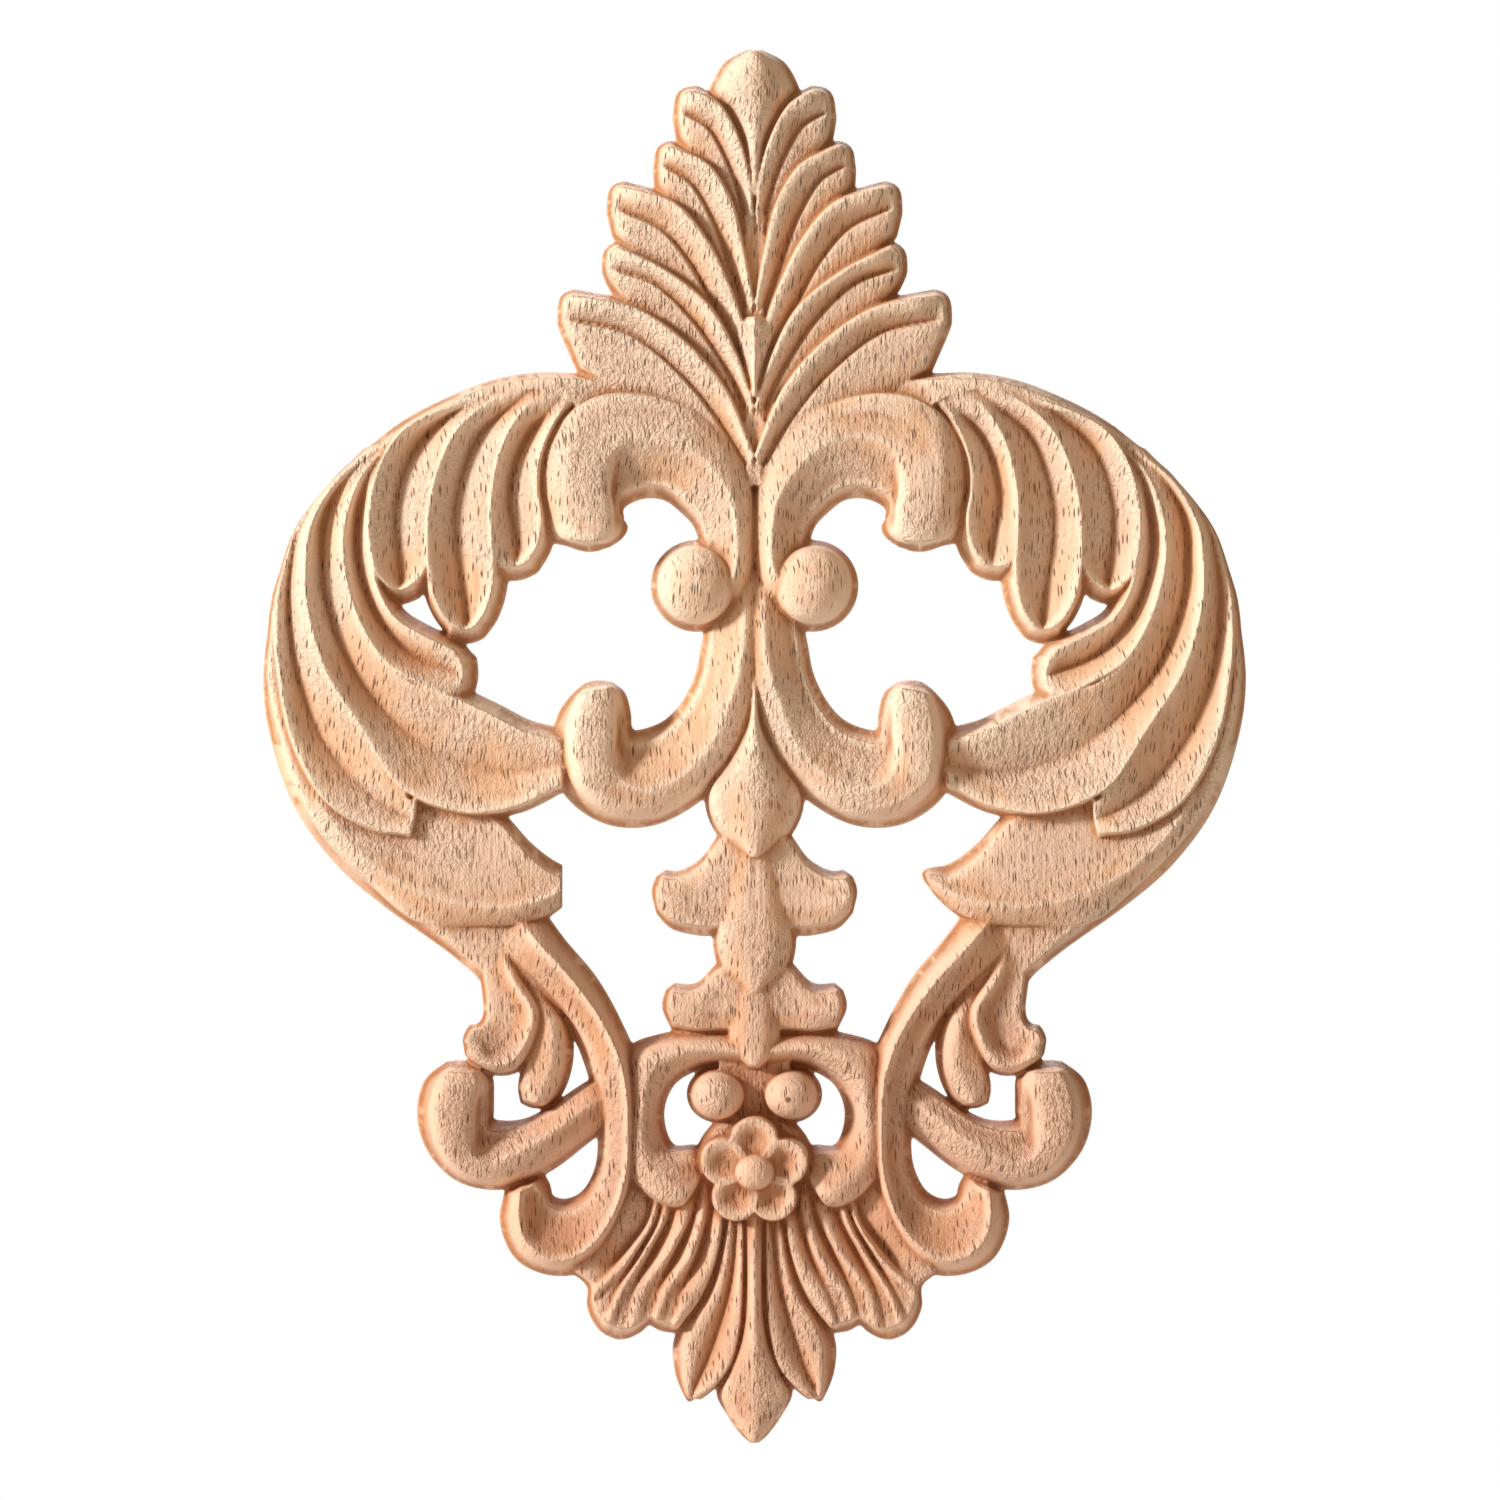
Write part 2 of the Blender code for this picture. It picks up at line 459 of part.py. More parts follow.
HUSK = (((-1, -16), (-1, -30), (-1, -46)), ((6.5, -18), (7, -30), (6.6, -41.2)),
        ((11.6, -24.3), (12.5, -32), (12, -40.9)), ((16.6, -26.9), (18, -32.5), (18, -39.3)),
        ((20.4, -26.4), (22.1, -31), (21.1, -36)))
HUSK_HEIGHTS = ((7.4, 7.0, 6.6), (6.6, 6.6, 6.0), (6.6, 7.4, 6.4), (7.0, 7.8, 6.6), (7.4, 8.2, 6.8))
SMALL_HUSK = (((-1, -44), (-1, -54), (-1, -64)), ((7, -46), (7.4, -54), (6.6, -62.6)),
              ((12.5, -51), (13, -56), (13, -62.8)), ((18.5, -50.9), (19.9, -56), (17.7, -61.3)))


def husks(form):
    carve(form, HUSK, HUSK_HEIGHTS, walls=(1.8, 2.2), ends=(0, 1.5), swell=(0.2, 0.6))
    carve(form, SMALL_HUSK, HUSK_HEIGHTS[:2] + HUSK_HEIGHTS[3:], walls=(1.8, 2.0), ends=(0, 1.5),
          swell=(0.2, 0.6))


GREAT_SCROLL = (((46, -34), (51, -37), (60, -38)), ((41, -41.5), (46, -42.7), (56, -44)),
                ((34, -50), (39, -50.3), (48, -52)), ((28.5, -60), (32.3, -59.8), (40.7, -60)),
                ((25, -69), (28.3, -69.5), (36.6, -69)), ((24.2, -80), (27.2, -80), (34.3, -79.5)),
                ((25, -91), (27.7, -92), (34.3, -90)), ((28.3, -102.7), (31.2, -102), (37.3, -95.9)),
                ((35, -112.5), (37, -108.5), (41, -97.5)), ((43.7, -114), (43.2, -110), (43.7, -96.6)),
                ((51.3, -110.6), (48.6, -106.5), (43.9, -95.3)), ((54.8, -102.5), (50.5, -100.8), (44.2, -94)),
                ((53.4, -94.6), (49.9, -93.4), (45.4, -91.9)))
STEM = (((56, -30), (66, -32), (76, -37.4)), ((46, -40), (56, -42), (65, -45.4)),
        ((42, -50), (51, -49), (59.3, -50.7)), ((42, -57), (50, -55), (57.5, -56.3)),
        ((45, -62), (52, -60), (59.5, -60)))
# Lines of the curled leaf: outline, round rim, the hollow beside it and the open side
CURLED_LEAF = (((54, -41), (55, -41.3), (56.5, -42), (60, -44)),
               ((49.8, -49), (52, -49.8), (53.8, -50.5), (59, -52)),
               ((45.2, -57), (47.9, -57.2), (49.9, -57.3), (58.5, -56.9)),
               ((46.4, -64), (49, -62.8), (50.9, -61.8), (59, -59)),
               ((50.6, -70), (52.2, -67.5), (53.2, -65.5), (60, -59.9)),
               ((55.5, -71), (56.1, -68.3), (56.4, -65.8), (61.3, -60.1)),
               ((60.4, -68.7), (59.8, -66.6), (59.3, -64.8), (62.5, -61.8)),
               ((62.3, -66.3), (62.55, -65.4), (62.75, -64.4), (62.85, -63.2)))
CURLED_HEIGHTS = ((4.6, 5.2, 5.0, 4.6), (6.2, 7.4, 6.2, 5.6), (7.2, 8.6, 6.3, 6.2), (7.4, 8.9, 6.2, 6.6),
                  (7.4, 9.0, 6.2, 7.0), (7.4, 9.0, 6.6, 7.6), (7.4, 8.8, 8.2, 8.2), (7.2, 7.8, 7.8, 7.4))
SMALL_LEAF = (((46.5, -50.5), (48, -52), (50, -54)), ((40.2, -59), (44, -60), (48, -62)),
              ((39, -67.5), (43.8, -68), (50.2, -69)), ((41.8, -75.6), (46.3, -74.8), (51, -73.8)),
              ((45.6, -78), (48, -78), (50.4, -77)))


def great_scroll(form):
    carve(form, GREAT_SCROLL, heights=(RIM, CREST, 5.6), lift=(0.5, 0.94) + (1,) * 7 + (1.04, 1.06, 1.06, 0.95),
          walls=(WALL, 2.4), ends=(0, 2.0), swell=(0.2, -0.5))
    carve(form, STEM, heights=(4.0, 4.8, 4.6), walls=(0, 2.6), ends=(0, 0))


def side_leaves(form):
    carve(form, CURLED_LEAF, CURLED_HEIGHTS, walls=(1.8, 1.4), ends=(0, 1.6), swell=(0.1, 0, -0.2))
    carve(form, SMALL_LEAF, heights=(6.4, 7.6, 6), lift=(0.6, 1, 1, 1, 1), walls=(2.0, 1.2),
          ends=(0, 1.6), swell=(0.2, 0.2))


ARCH = (((-1, -61), (-1, -66), (-1, -71.2)), ((10, -60.5), (9.5, -65), (8, -69)),
        ((18, -61.5), (16, -65.8), (13.6, -70.6)), ((28, -65.4), (22, -69.2), (17.5, -73.5)),
        ((30, -77), (24, -78), (19.4, -79.5)), ((30, -90), (23.6, -88), (17.2, -85.9)),
        ((25.5, -96.5), (18.5, -93), (12.4, -86)), ((19.5, -100.4), (15, -95.6), (10.2, -88)),
        ((14.5, -100.2), (12.2, -95.6), (9.8, -90.6)))
FLOWER_CENTRE = (0.0, -91.2)
PETAL_DISTANCE = 6.7
PETAL_RADIUS = 5.9


# Heights of outer edge, crest and inner edge; the hook stands high over the fan
ARCH_BAND = (RIM, 8.6, 5.6)
ARCH_HOOK = (8.4, 10.2, 6.2)


def arch(form):
    carve(form, ARCH, heights=(ARCH_BAND,) * 5 + ((7.0, 9.2, 5.8),) + (ARCH_HOOK,) * 2 + ((7.6, 8.8, 6.4),),
          walls=(2.6, 2.2), ends=(0, 2.0), swell=(0.6, 0.4))
    dome(form, (7.8, -75), (6.8, 6.2), BALL - 1.0, wall=1.2)


def petal(form, turn):
    centre = (FLOWER_CENTRE[0] + PETAL_DISTANCE * math.cos(math.radians(turn)),
              FLOWER_CENTRE[1] + PETAL_DISTANCE * math.sin(math.radians(turn)))
    dome(form, centre, (PETAL_RADIUS, PETAL_RADIUS), BULB, rim=11.4, wall=1.0, dish=1.9)


def side_petals(form):
    for turn in (18, -54):
        petal(form, turn)


def flower_middle(form):
    petal(form, 90)
    dome(form, FLOWER_CENTRE, (4.7, 4.3), 14.0, rim=11.0, wall=0.5)
    dome(form, (FLOWER_CENTRE[0], -91.0), (13.2, 13.2), 6.0, rim=5.0, wall=1.5)
    neck = on_axis(((11, -64), (12.4, -70), (8, -76), (4, -84)))
    carve(form, neck, heights=(5.8, 5.8, 5.8), walls=(0, 0), ends=(0, 0))


FAN = (((5, -92), (7.5, -92), (9.5, -92), (11.5, -92), (13, -92), (16, -92), (17.5, -92), (19, -92),
        (20, -92), (21.5, -92), (25, -91)),
       ((5.6, -101), (9.3, -100), (10.8, -100), (13, -100.5), (14.3, -101), (18, -101), (19.2, -101.2),
        (20.8, -101.4), (21.6, -101.4), (23, -101.5), (27.5, -98)),
       ((7.2, -110.5), (12, -109.5), (13.4, -109), (16.7, -109), (18, -108.5), (21.8, -108.8),
        (23, -108), (24.8, -109), (25.7, -108.2), (27.6, -108), (32.5, -104.5)),
       ((11, -119.5), (16, -117.5), (17.6, -116.8), (20.6, -116.7), (22.1, -116), (26.2, -117.2),
        (27.4, -116.2), (29.3, -116), (30.4, -114.8), (32.3, -113.3), (36.5, -109.5)),
       ((16.5, -126.3), (18.6, -126.3), (20.5, -125.9), (22.8, -124.7), (24.8, -126.4), (28.5, -127.9),
        (31.2, -127.4), (34, -125.2), (35.9, -121), (35.9, -116.4), (40, -112.8)))
FAN_RIDGE = 8.6
FAN_GROOVE = 4.5
FAN_FACE = 7.2
FAN_ROOT = 4.6
FOOT_LEAF = (((2.4, -103), (4, -104), (8, -103)), ((2.6, -114), (5.1, -114.5), (10, -113.5)),
             ((3.2, -125), (7.8, -125), (15.2, -122)), ((5.6, -133.5), (10.3, -132), (17.6, -129)),
             ((9.4, -139.9), (13, -138), (17, -135)), ((12.5, -141.6), (14.2, -141.7), (15.5, -139.9)))


def fan_section(groove, ridge=FAN_RIDGE):
    return (FAN_FACE,) + (groove, ridge) * 4 + (groove, FAN_FACE)


FAN_HEIGHTS = ((FAN_ROOT,) * 11, fan_section(4.2, 6.8), fan_section(FAN_GROOVE),
               fan_section(5.6, 8.0), (FAN_FACE,) * 11)


def foot_stem(form):
    stem = on_axis(((2.6, -97), (2.8, -119), (4, -128), (6.1, -134), (8.2, -139.3), (6, -144),
                    (3, -148.2), (0.9, -150)))
    carve(form, stem, heights=(7.6, 9.4, 7.6), lift=(1, 1, 1, 1, 1, 0.95, 0.9, 0.8),
          walls=(1.4, 1.4), ends=(0, 2.0), swell=(0.3, 0.3))
    ground = on_axis(((9, -97), (9, -110), (12, -122), (9, -132), (4, -140)))
    carve(form, ground, heights=(4.6, 4.6, 4.6), walls=(0, 0), ends=(0, 0))


def foot_leaves(form):
    carve(form, FOOT_LEAF, heights=(7.6, 5.0, 6.6), lift=(0.9, 1, 1, 1, 1, 0.95), walls=(-1.2, WALL),
          ends=(0, 1.8), swell=(0.6, 1.3))
    carve(form, FAN, FAN_HEIGHTS, walls=(1.2, 1.5), ends=(0, WALL))


def wood(colour, roughness):
    material = bpy.data.materials.new("pale carved wood")
    material.use_nodes = True
    shader = material.node_tree.nodes["Principled BSDF"]
    shader.inputs["Base Color"].default_value = colour
    shader.inputs["Roughness"].default_value = roughness
    shader.inputs["Metallic"].default_value = 0.0
    return material


def object_from(mesh, name):
    bmesh.ops.triangulate(mesh, faces=mesh.faces[:])
    bmesh.ops.recalc_face_normals(mesh, faces=mesh.faces[:])
    data = bpy.data.meshes.new(name)
    mesh.to_mesh(data)
    mesh.free()
    made = bpy.data.objects.new(name, data)
    bpy.context.scene.collection.objects.link(made)
    return made


def box(name, low, high):
    """Cutter box between two corners in millimetres."""
    mesh = bmesh.new()
    bmesh.ops.create_cube(mesh, size=1.0)
    for vert in mesh.verts:
        for axis in range(3):
            vert.co[axis] = (low[axis] if vert.co[axis] < 0.0 else high[axis]) * MM
    cutter = object_from(mesh, name)
    cutter.hide_render = True
    cutter.display_type = "WIRE"
    return cutter


def cut(panel, cutter):
    modifier = panel.modifiers.new("cut by " + cutter.name, "BOOLEAN")
    modifier.operation = "DIFFERENCE"
    modifier.solver = "EXACT"
    modifier.object = cutter


SIDE_FORMS = (palmette, scrolls, outer_leaf, broad_leaf, husks, great_scroll,
              side_leaves, arm, arch, side_petals, foot_leaves)
MIDDLE_FORMS = (palmette_middle, pendant, flower_middle, foot_stem)


def applique():
    mesh = bmesh.new()
    for form in SIDE_FORMS:
        form(mesh)
    bmesh.ops.mirror(mesh, geom=mesh.verts[:] + mesh.edges[:] + mesh.faces[:], matrix=Matrix.Identity(4),
                     merge_dist=0.0, axis="X")
    for form in MIDDLE_FORMS:
        form(mesh)
    panel = object_from(mesh, "applique")
    merged = panel.modifiers.new("one body", "REMESH")
    merged.mode = "VOXEL"
    merged.voxel_size = GRAIN * MM
    merged.use_smooth_shade = True
    facets = panel.modifiers.new("fewer facets", "DECIMATE")
    facets.ratio = FACETS_KEPT
    cut(panel, box("flat back", (-CUT_REACH, 0.0, -CUT_REACH), (CUT_REACH, 4.0 * SKIRT, CUT_REACH)))
    (left, low), (right, high) = BLUNT_TIP
    cut(panel, box("blunt left tip", (left, -BALL, low), (right, 2.0 * SKIRT, high)))
    panel.data.materials.append(wood(WOOD_COLOUR, WOOD_ROUGHNESS))
    return panel


clear_scene()
applique()
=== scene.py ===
# %% [markdown]
# Carved wood applique
# The object is one board of pale hardwood, pierced and carved into scrolls, leaves, balls and a flower.
# Its back is flat, because it is glued to a door or a bed head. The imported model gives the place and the
# size; this script makes the fine carving and the look of the wood around it.

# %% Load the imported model
import math

import bmesh
import bpy
import numpy as np
from mathutils import Matrix, Vector
from mathutils.bvhtree import BVHTree


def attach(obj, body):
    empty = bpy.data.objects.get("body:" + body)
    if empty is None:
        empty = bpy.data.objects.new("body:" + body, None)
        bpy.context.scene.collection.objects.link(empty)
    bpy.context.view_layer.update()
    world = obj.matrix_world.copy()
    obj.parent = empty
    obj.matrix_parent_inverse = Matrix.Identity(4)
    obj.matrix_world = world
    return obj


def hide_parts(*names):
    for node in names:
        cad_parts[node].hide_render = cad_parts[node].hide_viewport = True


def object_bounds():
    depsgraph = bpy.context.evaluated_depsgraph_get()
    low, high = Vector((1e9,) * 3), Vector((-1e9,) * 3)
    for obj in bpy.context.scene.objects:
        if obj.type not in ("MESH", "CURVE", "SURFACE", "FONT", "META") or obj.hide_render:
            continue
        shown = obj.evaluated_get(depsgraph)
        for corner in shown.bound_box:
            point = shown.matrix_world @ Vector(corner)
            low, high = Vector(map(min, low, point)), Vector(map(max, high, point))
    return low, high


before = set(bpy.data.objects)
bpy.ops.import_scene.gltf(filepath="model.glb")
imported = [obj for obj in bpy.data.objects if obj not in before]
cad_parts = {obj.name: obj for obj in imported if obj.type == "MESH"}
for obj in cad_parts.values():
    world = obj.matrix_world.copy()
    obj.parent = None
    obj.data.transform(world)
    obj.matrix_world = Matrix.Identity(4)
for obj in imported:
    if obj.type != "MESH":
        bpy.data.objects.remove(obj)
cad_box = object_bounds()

print("packed model, lowest and highest corner:", cad_box)

# %% [markdown]
# Carving starts on paper: the pattern is drawn on the board and each leaf is cut along a few drawn lines.
# A leaf could be modelled from a cube by hand, or from an image. Here every form is a net of stations:
# cross-sections with a few named lines, such as crest, vein and edge. Few points give a smooth leaf, and
# each can be checked against the object.

# %% Sizes in millimetres
MM = 0.001
WALL = 3.0           # run of the sloping outer wall, seen from the front
STEP = 1.8           # run of the steep flank where one leaf overlaps the next
SKIRT = 1.0          # how far every form runs past the back before the back is cut flat
RIM = 6.0            # height of the face at the outline
CREST = 10.0         # height of a leaf's or a scroll's crest
BULB = 11.5          # height of the rounded forms
HOLLOW = 4.6         # height of the bottom of a flute
BALL = 13.0          # height of the balls
BLUNT_TIP_X = -41.4  # where the tip of the left broad leaf is cut off square

NET_GAP = 0.9    # greatest distance between the points of a form
GRAIN = 0.34     # cell of the remesh
ROUND_STEPS = 72     # steps round a ball
DOME_STEPS = 12      # steps from its rim to its top

# %% [markdown]
# A drawn line is only a few points. A polyline through them would show corners, and a Bezier curve would
# need handles. A Catmull-Rom curve passes through every point by itself. Its knots are spaced by the root
# of the distance, which stops it from swinging out where short and long spans meet.

# %% A smooth curve through a few values
def pull(start, end):
    if isinstance(start, Vector):
        return max((end - start).length, 0.001) ** 0.5
    return 1.0


def along(values, place):
    """Read the curve at a place counted in values: 1.5 is halfway from the second to the third."""
    last = len(values) - 1
    if last == 0:
        return values[0]
    first = max(0, min(int(place), last - 1))
    share = place - first
    start = values[first]
    end = values[first + 1]
    if last == 1:
        return start + (end - start) * share
    before = values[first - 1] if first else 2.0 * start - end
    after = values[first + 2] if first + 2 <= last else 2.0 * end - start
    left = pull(before, start)
    here = pull(start, end)
    right = pull(end, after)
    leaving = ((start - before) / left - (end - before) / (left + here) + (end - start) / here) * here
    arriving = ((end - start) / here - (after - start) / (here + right) + (after - end) / right) * here
    square = share * share
    cube = square * share
    return (start * (2.0 * cube - 3.0 * square + 1.0) + leaving * (cube - 2.0 * square + share)
            + end * (3.0 * square - 2.0 * cube) + arriving * (cube - square))


print("halfway between two points:", along([Vector((0, 0)), Vector((10, 0))], 0.5))

# %% [markdown]
# The net itself is a bmesh grid whose points are moved into place: its outermost ring is the foot of the
# walls, the ring inside it is the rim of the face, and the rest is the carved surface. The foot ring is
# then filled, so every form is a closed body of its own, and the bodies can be merged like clay.

# %% The station net
MOST_OF_STRIP = 0.45      # largest share of a strip that a wall may take
END_MARGIN = 0.1          # share of a span without rows beside an end wall


def inset(wall, span):
    return min(max(wall, 0.0) / span, MOST_OF_STRIP)


def wall_run(wall):
    """How far the foot of a wall lies outside the drawn edge."""
    return max(-wall, 0.0) + abs(wall) * SKIRT / (RIM + SKIRT)


def outward(before, after, edge, inner):
    """Unit vector square to the edge, seen from the front, that points away from the face."""
    run = after - before
    square = Vector((run.y, -run.x)).normalized()
    return square if square.dot(edge - inner) > 0.0 else -square


def places_along(stations, ends):
    middle = len(stations[0]) // 2
    spans = [(following[middle] - station[middle]).length
             for station, following in zip(stations, stations[1:])]
    near = inset(ends[0], spans[0])
    far = len(spans) - inset(ends[1], spans[-1])
    inner = []
    for number, span in enumerate(spans):
        steps = math.ceil(span / NET_GAP)
        inner += [number + step / steps for step in range(steps)]
    kept = [place for place in inner if near + END_MARGIN < place < far - END_MARGIN]
    return [0.0, near] + kept + [far, float(len(spans))]


def columns_per_strip(stations):
    widths = [max((station[line + 1] - station[line]).length for station in stations)
              for line in range(len(stations[0]) - 1)]
    return [math.ceil(width / NET_GAP) for width in widths]


def face_row(section, walls, columns):
    """Points across a section from rim to rim."""
    count = len(section) - 1
    near = inset(walls[0], (section[1] - section[0]).length)
    far = count - inset(walls[1], (section[-1] - section[-2]).length)
    lines = [near] + [float(line) for line in range(1, count)] + [far]
    row = []
    for strip, steps in enumerate(columns):
        for step in range(steps):
            share = step / steps
            row.append(along(section, lines[strip] * (1.0 - share) + lines[strip + 1] * share))
    return row + [along(section, far)]


def level_row(heights, swell, columns):
    """Heights across a section; swell raises the middle of a strip above the straight line."""
    row = []
    for strip, steps in enumerate(columns):
        for step in range(steps):
            share = step / steps
            row.append(heights[strip] * (1.0 - share) + heights[strip + 1] * share
                       + swell[strip] * 4.0 * share * (1.0 - share))
    return row + [heights[-1]]


def side_feet(sections, edge, inner, wall):
    """Foot points beside every section, and the directions in which they were moved out."""
    last = len(sections) - 1
    aims = [outward(sections[max(number - 2, 0)][edge], sections[min(number + 2, last)][edge],
                    section[edge], section[inner]) for number, section in enumerate(sections)]
    return [section[edge] + aim * wall_run(wall) for section, aim in zip(sections, aims)], aims


def end_feet(row, inner_row, wall):
    last = len(row) - 1
    aims = [outward(row[max(number - 1, 0)], row[min(number + 1, last)], point, inner)
            for number, (point, inner) in enumerate(zip(row, inner_row))]
    return [point + aim * wall_run(wall) for point, aim in zip(row, aims)], aims


def round_corner(corner, side_aim, end_aim, side_wall, end_wall):
    return corner + (side_aim + end_aim).normalized() * 0.5 * (wall_run(side_wall) + wall_run(end_wall))


def with_feet(sections, faces, walls, ends):
    """Add the foot of all four walls around the face rows."""
    left, left_aims = side_feet(sections, 0, 1, walls[0])
    right, right_aims = side_feet(sections, -1, -2, walls[1])
    rows = [list(row) for row in faces]
    for end, inner, wall in ((0, 2, ends[0]), (-1, -3, ends[1])):
        rows[end], aims = end_feet(faces[end], faces[inner], wall)
        left[end] = round_corner(sections[end][0], left_aims[end], aims[0], walls[0], wall)
        right[end] = round_corner(sections[end][-1], right_aims[end], aims[-1], walls[1], wall)
    return [[near] + row + [far] for near, row, far in zip(left, rows, right)]


def fill_foot(form, ring):
    edges = dict.fromkeys(edge for vert in ring for edge in vert.link_edges)
    bmesh.ops.edgeloop_fill(form, edges=[edge for edge in edges if edge.is_boundary])


def per_station(values, count):
    return values if isinstance(values[0], (tuple, list)) else (values,) * count


def carve(form, stations, heights, lift=None, walls=(WALL, WALL), ends=(WALL, WALL), swell=None):
    """Add one carved body. A negative wall lies outside its crest line, 0 is upright."""
    count = len(stations)
    stations = [[Vector(point) for point in section] for section in stations]
    heights = [[height * factor for height in section]
               for section, factor in zip(per_station(heights, count), lift or (1.0,) * count)]
    swell = per_station(swell or (0.0,) * (len(stations[0]) - 1), count)
    columns = columns_per_strip(stations)
    places = places_along(stations, ends)
    sections = [[along(line, place) for line in zip(*stations)] for place in places]
    faces = [face_row(section, walls, columns) for section in sections]
    net = []
    rows = with_feet(sections, faces, walls, ends)
    for place, row in zip(places, rows):
        levels = [-SKIRT] * len(row)
        if 0 < len(net) < (len(rows) - 1) * len(row):
            levels[1:-1] = level_row([along(line, place) for line in zip(*heights)],
                                     [along(line, place) for line in zip(*swell)], columns)
        net += [(point.x * MM, -level * MM, point.y * MM) for point, level in zip(row, levels)]
    grid = bmesh.ops.create_grid(form, x_segments=len(rows[0]) - 1, y_segments=len(rows) - 1,
                                 size=1.0)["verts"]
    for vert, place in zip(grid, net):
        vert.co = place
    fill_foot(form, grid)
    bmesh.ops.remove_doubles(form, verts=grid, dist=0.01 * MM)


def on_axis(outline):
    """Stations of a form on the centre line, from the points of its right outline."""
    return [((-x, z), (0.0, z), (x, z)) for x, z in outline]


# %% [markdown]
# The balls, the petals and the button are round, so they are turned: half a profile is drawn and spun once
# around an axis that looks out of the board.

# %% Round bodies
def linked(vert):
    """All vertices of the body that a vertex belongs to."""
    found = {vert: None}
    open_ends = [vert]
    while open_ends:
        here = open_ends.pop()
        for edge in here.link_edges:
            other = edge.other_vert(here)
            if other not in found:
                found[other] = None
                open_ends.append(other)
    return list(found)


def dome(form, centre, radii, height, rim=RIM, wall=1.5, dish=0.0):
    """Turned body. A dish makes its top hollow by so much instead of round."""
    foot_run = wall * SKIRT / rim
    profile = [(0.0, -SKIRT), (1.0 + foot_run / radii[0], -SKIRT), (1.0 - wall / radii[0], rim)]
    start = profile[-1][0]
    for step in range(1, DOME_STEPS + 1):
        turn = math.radians(90.0 * step / DOME_STEPS)
        if dish:
            profile.append((start * (1.0 - step / DOME_STEPS), rim - dish * math.sin(turn) ** 2))
        else:
            profile.append((start * math.cos(turn), rim + (height - rim) * math.sin(turn)))
    verts = [form.verts.new((share * radii[0] * MM, -level * MM, 0.0)) for share, level in profile]
    edges = [form.edges.new(pair) for pair in zip(verts, verts[1:])]
    bmesh.ops.spin(form, geom=verts + edges, cent=(0, 0, 0), axis=(0, 1, 0), angle=2.0 * math.pi,
                   steps=ROUND_STEPS, use_merge=True)
    whole = linked(verts[0])
    bmesh.ops.scale(form, vec=(1.0, 1.0, radii[1] / radii[0]), verts=whole)
    bmesh.ops.translate(form, vec=(centre[0] * MM, 0.0, centre[1] * MM), verts=whole)
    bmesh.ops.remove_doubles(form, verts=whole, dist=0.001 * MM)


# %% [markdown]
# The palmette at the top is five leaves a side. Each leaf's upper edge is a round crest that stands over
# the leaf above it, a groove runs down its middle, and a small step leads to its lower half.

# %% The palmette
PALMETTE_LEAVES = (
    (((0.3, 114), (1.0, 108), (1.6, 103)), ((1.4, 123.5), (3.2, 117.5), (5, 112)),
     ((3.8, 131), (6.2, 126), (8.5, 120)), ((7.5, 137.3), (10.2, 133), (13, 126.5)),
     ((12.7, 140.5), (15.0, 139.9), (15.8, 136.2), (15.3, 131.2))),
    (((0.2, 95), (1.2, 91), (2.2, 88)), ((2.5, 107), (6, 105), (9.5, 103)),
     ((5.2, 117), (9.5, 114), (13, 110)), ((10, 124.5), (14, 121.3), (17.5, 115.5)),
     ((18.1, 128.6), (19.4, 128.0), (20.0, 125), (20.0, 120.7))),
    (((0.8, 86), (1.8, 82.5), (3, 79.5)), ((5.8, 99.5), (9.5, 96), (12, 92.5)),
     ((10.2, 108.3), (14, 104), (17.5, 99.5)), ((17, 116.2), (20, 111), (23.5, 104)),
     ((28.1, 119.9), (29.6, 119.3), (30.1, 115.8), (29.1, 110.4))),
    (((0.2, 73), (0.8, 69), (1.4, 65)), ((4, 84), (6, 80.5), (8, 77)),
     ((10, 94.5), (13.5, 91.8), (16, 85.5)), ((19, 101.8), (21.5, 99.3), (24.5, 92)),
     ((29.3, 107.0), (30.8, 106.0), (31.2, 102.8), (30.0, 99.4))),
    (((0.2, 62.5), (0.8, 58.5), (1.6, 54)), ((6, 76), (8.5, 71), (11, 64.5)),
     ((14, 85.7), (17, 81), (20.5, 72.5)), ((25, 93.5), (27, 88.6), (29, 76)),
     ((38.8, 96.6), (40.3, 95.9), (40.8, 91.8), (36.8, 81.6))),
)
# Heights of crest, slope, vein, the step beside it and the lower edge
LEAF_HEIGHTS = (CREST, 8.9, 6.1, 7.6, RIM)
TIP_HEIGHTS = (8.4, 8.0, 7.4, 7.2, RIM)
VEIN_STEP = 0.7
VEIN_END = 3.72      # place along the leaf where the vein stops


def leaf_section(crest, vein, edge, slope=None):
    drawn = [Vector(crest), Vector(vein), Vector(edge)]
    step = along(drawn, 1.0 + VEIN_STEP / (drawn[2] - drawn[1]).length)
    return (drawn[0], Vector(slope) if slope else along(drawn, 0.5), drawn[1], step, drawn[2])


def palmette(form):
    for *sections, (crest, shoulder, vein, edge) in PALMETTE_LEAVES:
        lines = [[Vector(point) for point in line] for line in zip(*sections, (crest, vein, edge))]
        stations = [leaf_section(*section) for section in sections]
        stations.append(leaf_section(*[along(line, VEIN_END) for line in lines]))
        stations.append(leaf_section(crest, vein, edge, slope=shoulder))
        carve(form, stations, heights=(LEAF_HEIGHTS,) * 5 + (TIP_HEIGHTS,),
              lift=(0.8, 0.9, 1.0, 1.0, 0.98, 0.94), walls=(-STEP, -STEP), ends=(0, -STEP),
              swell=(0.25, 0.1, 0, 0.4))


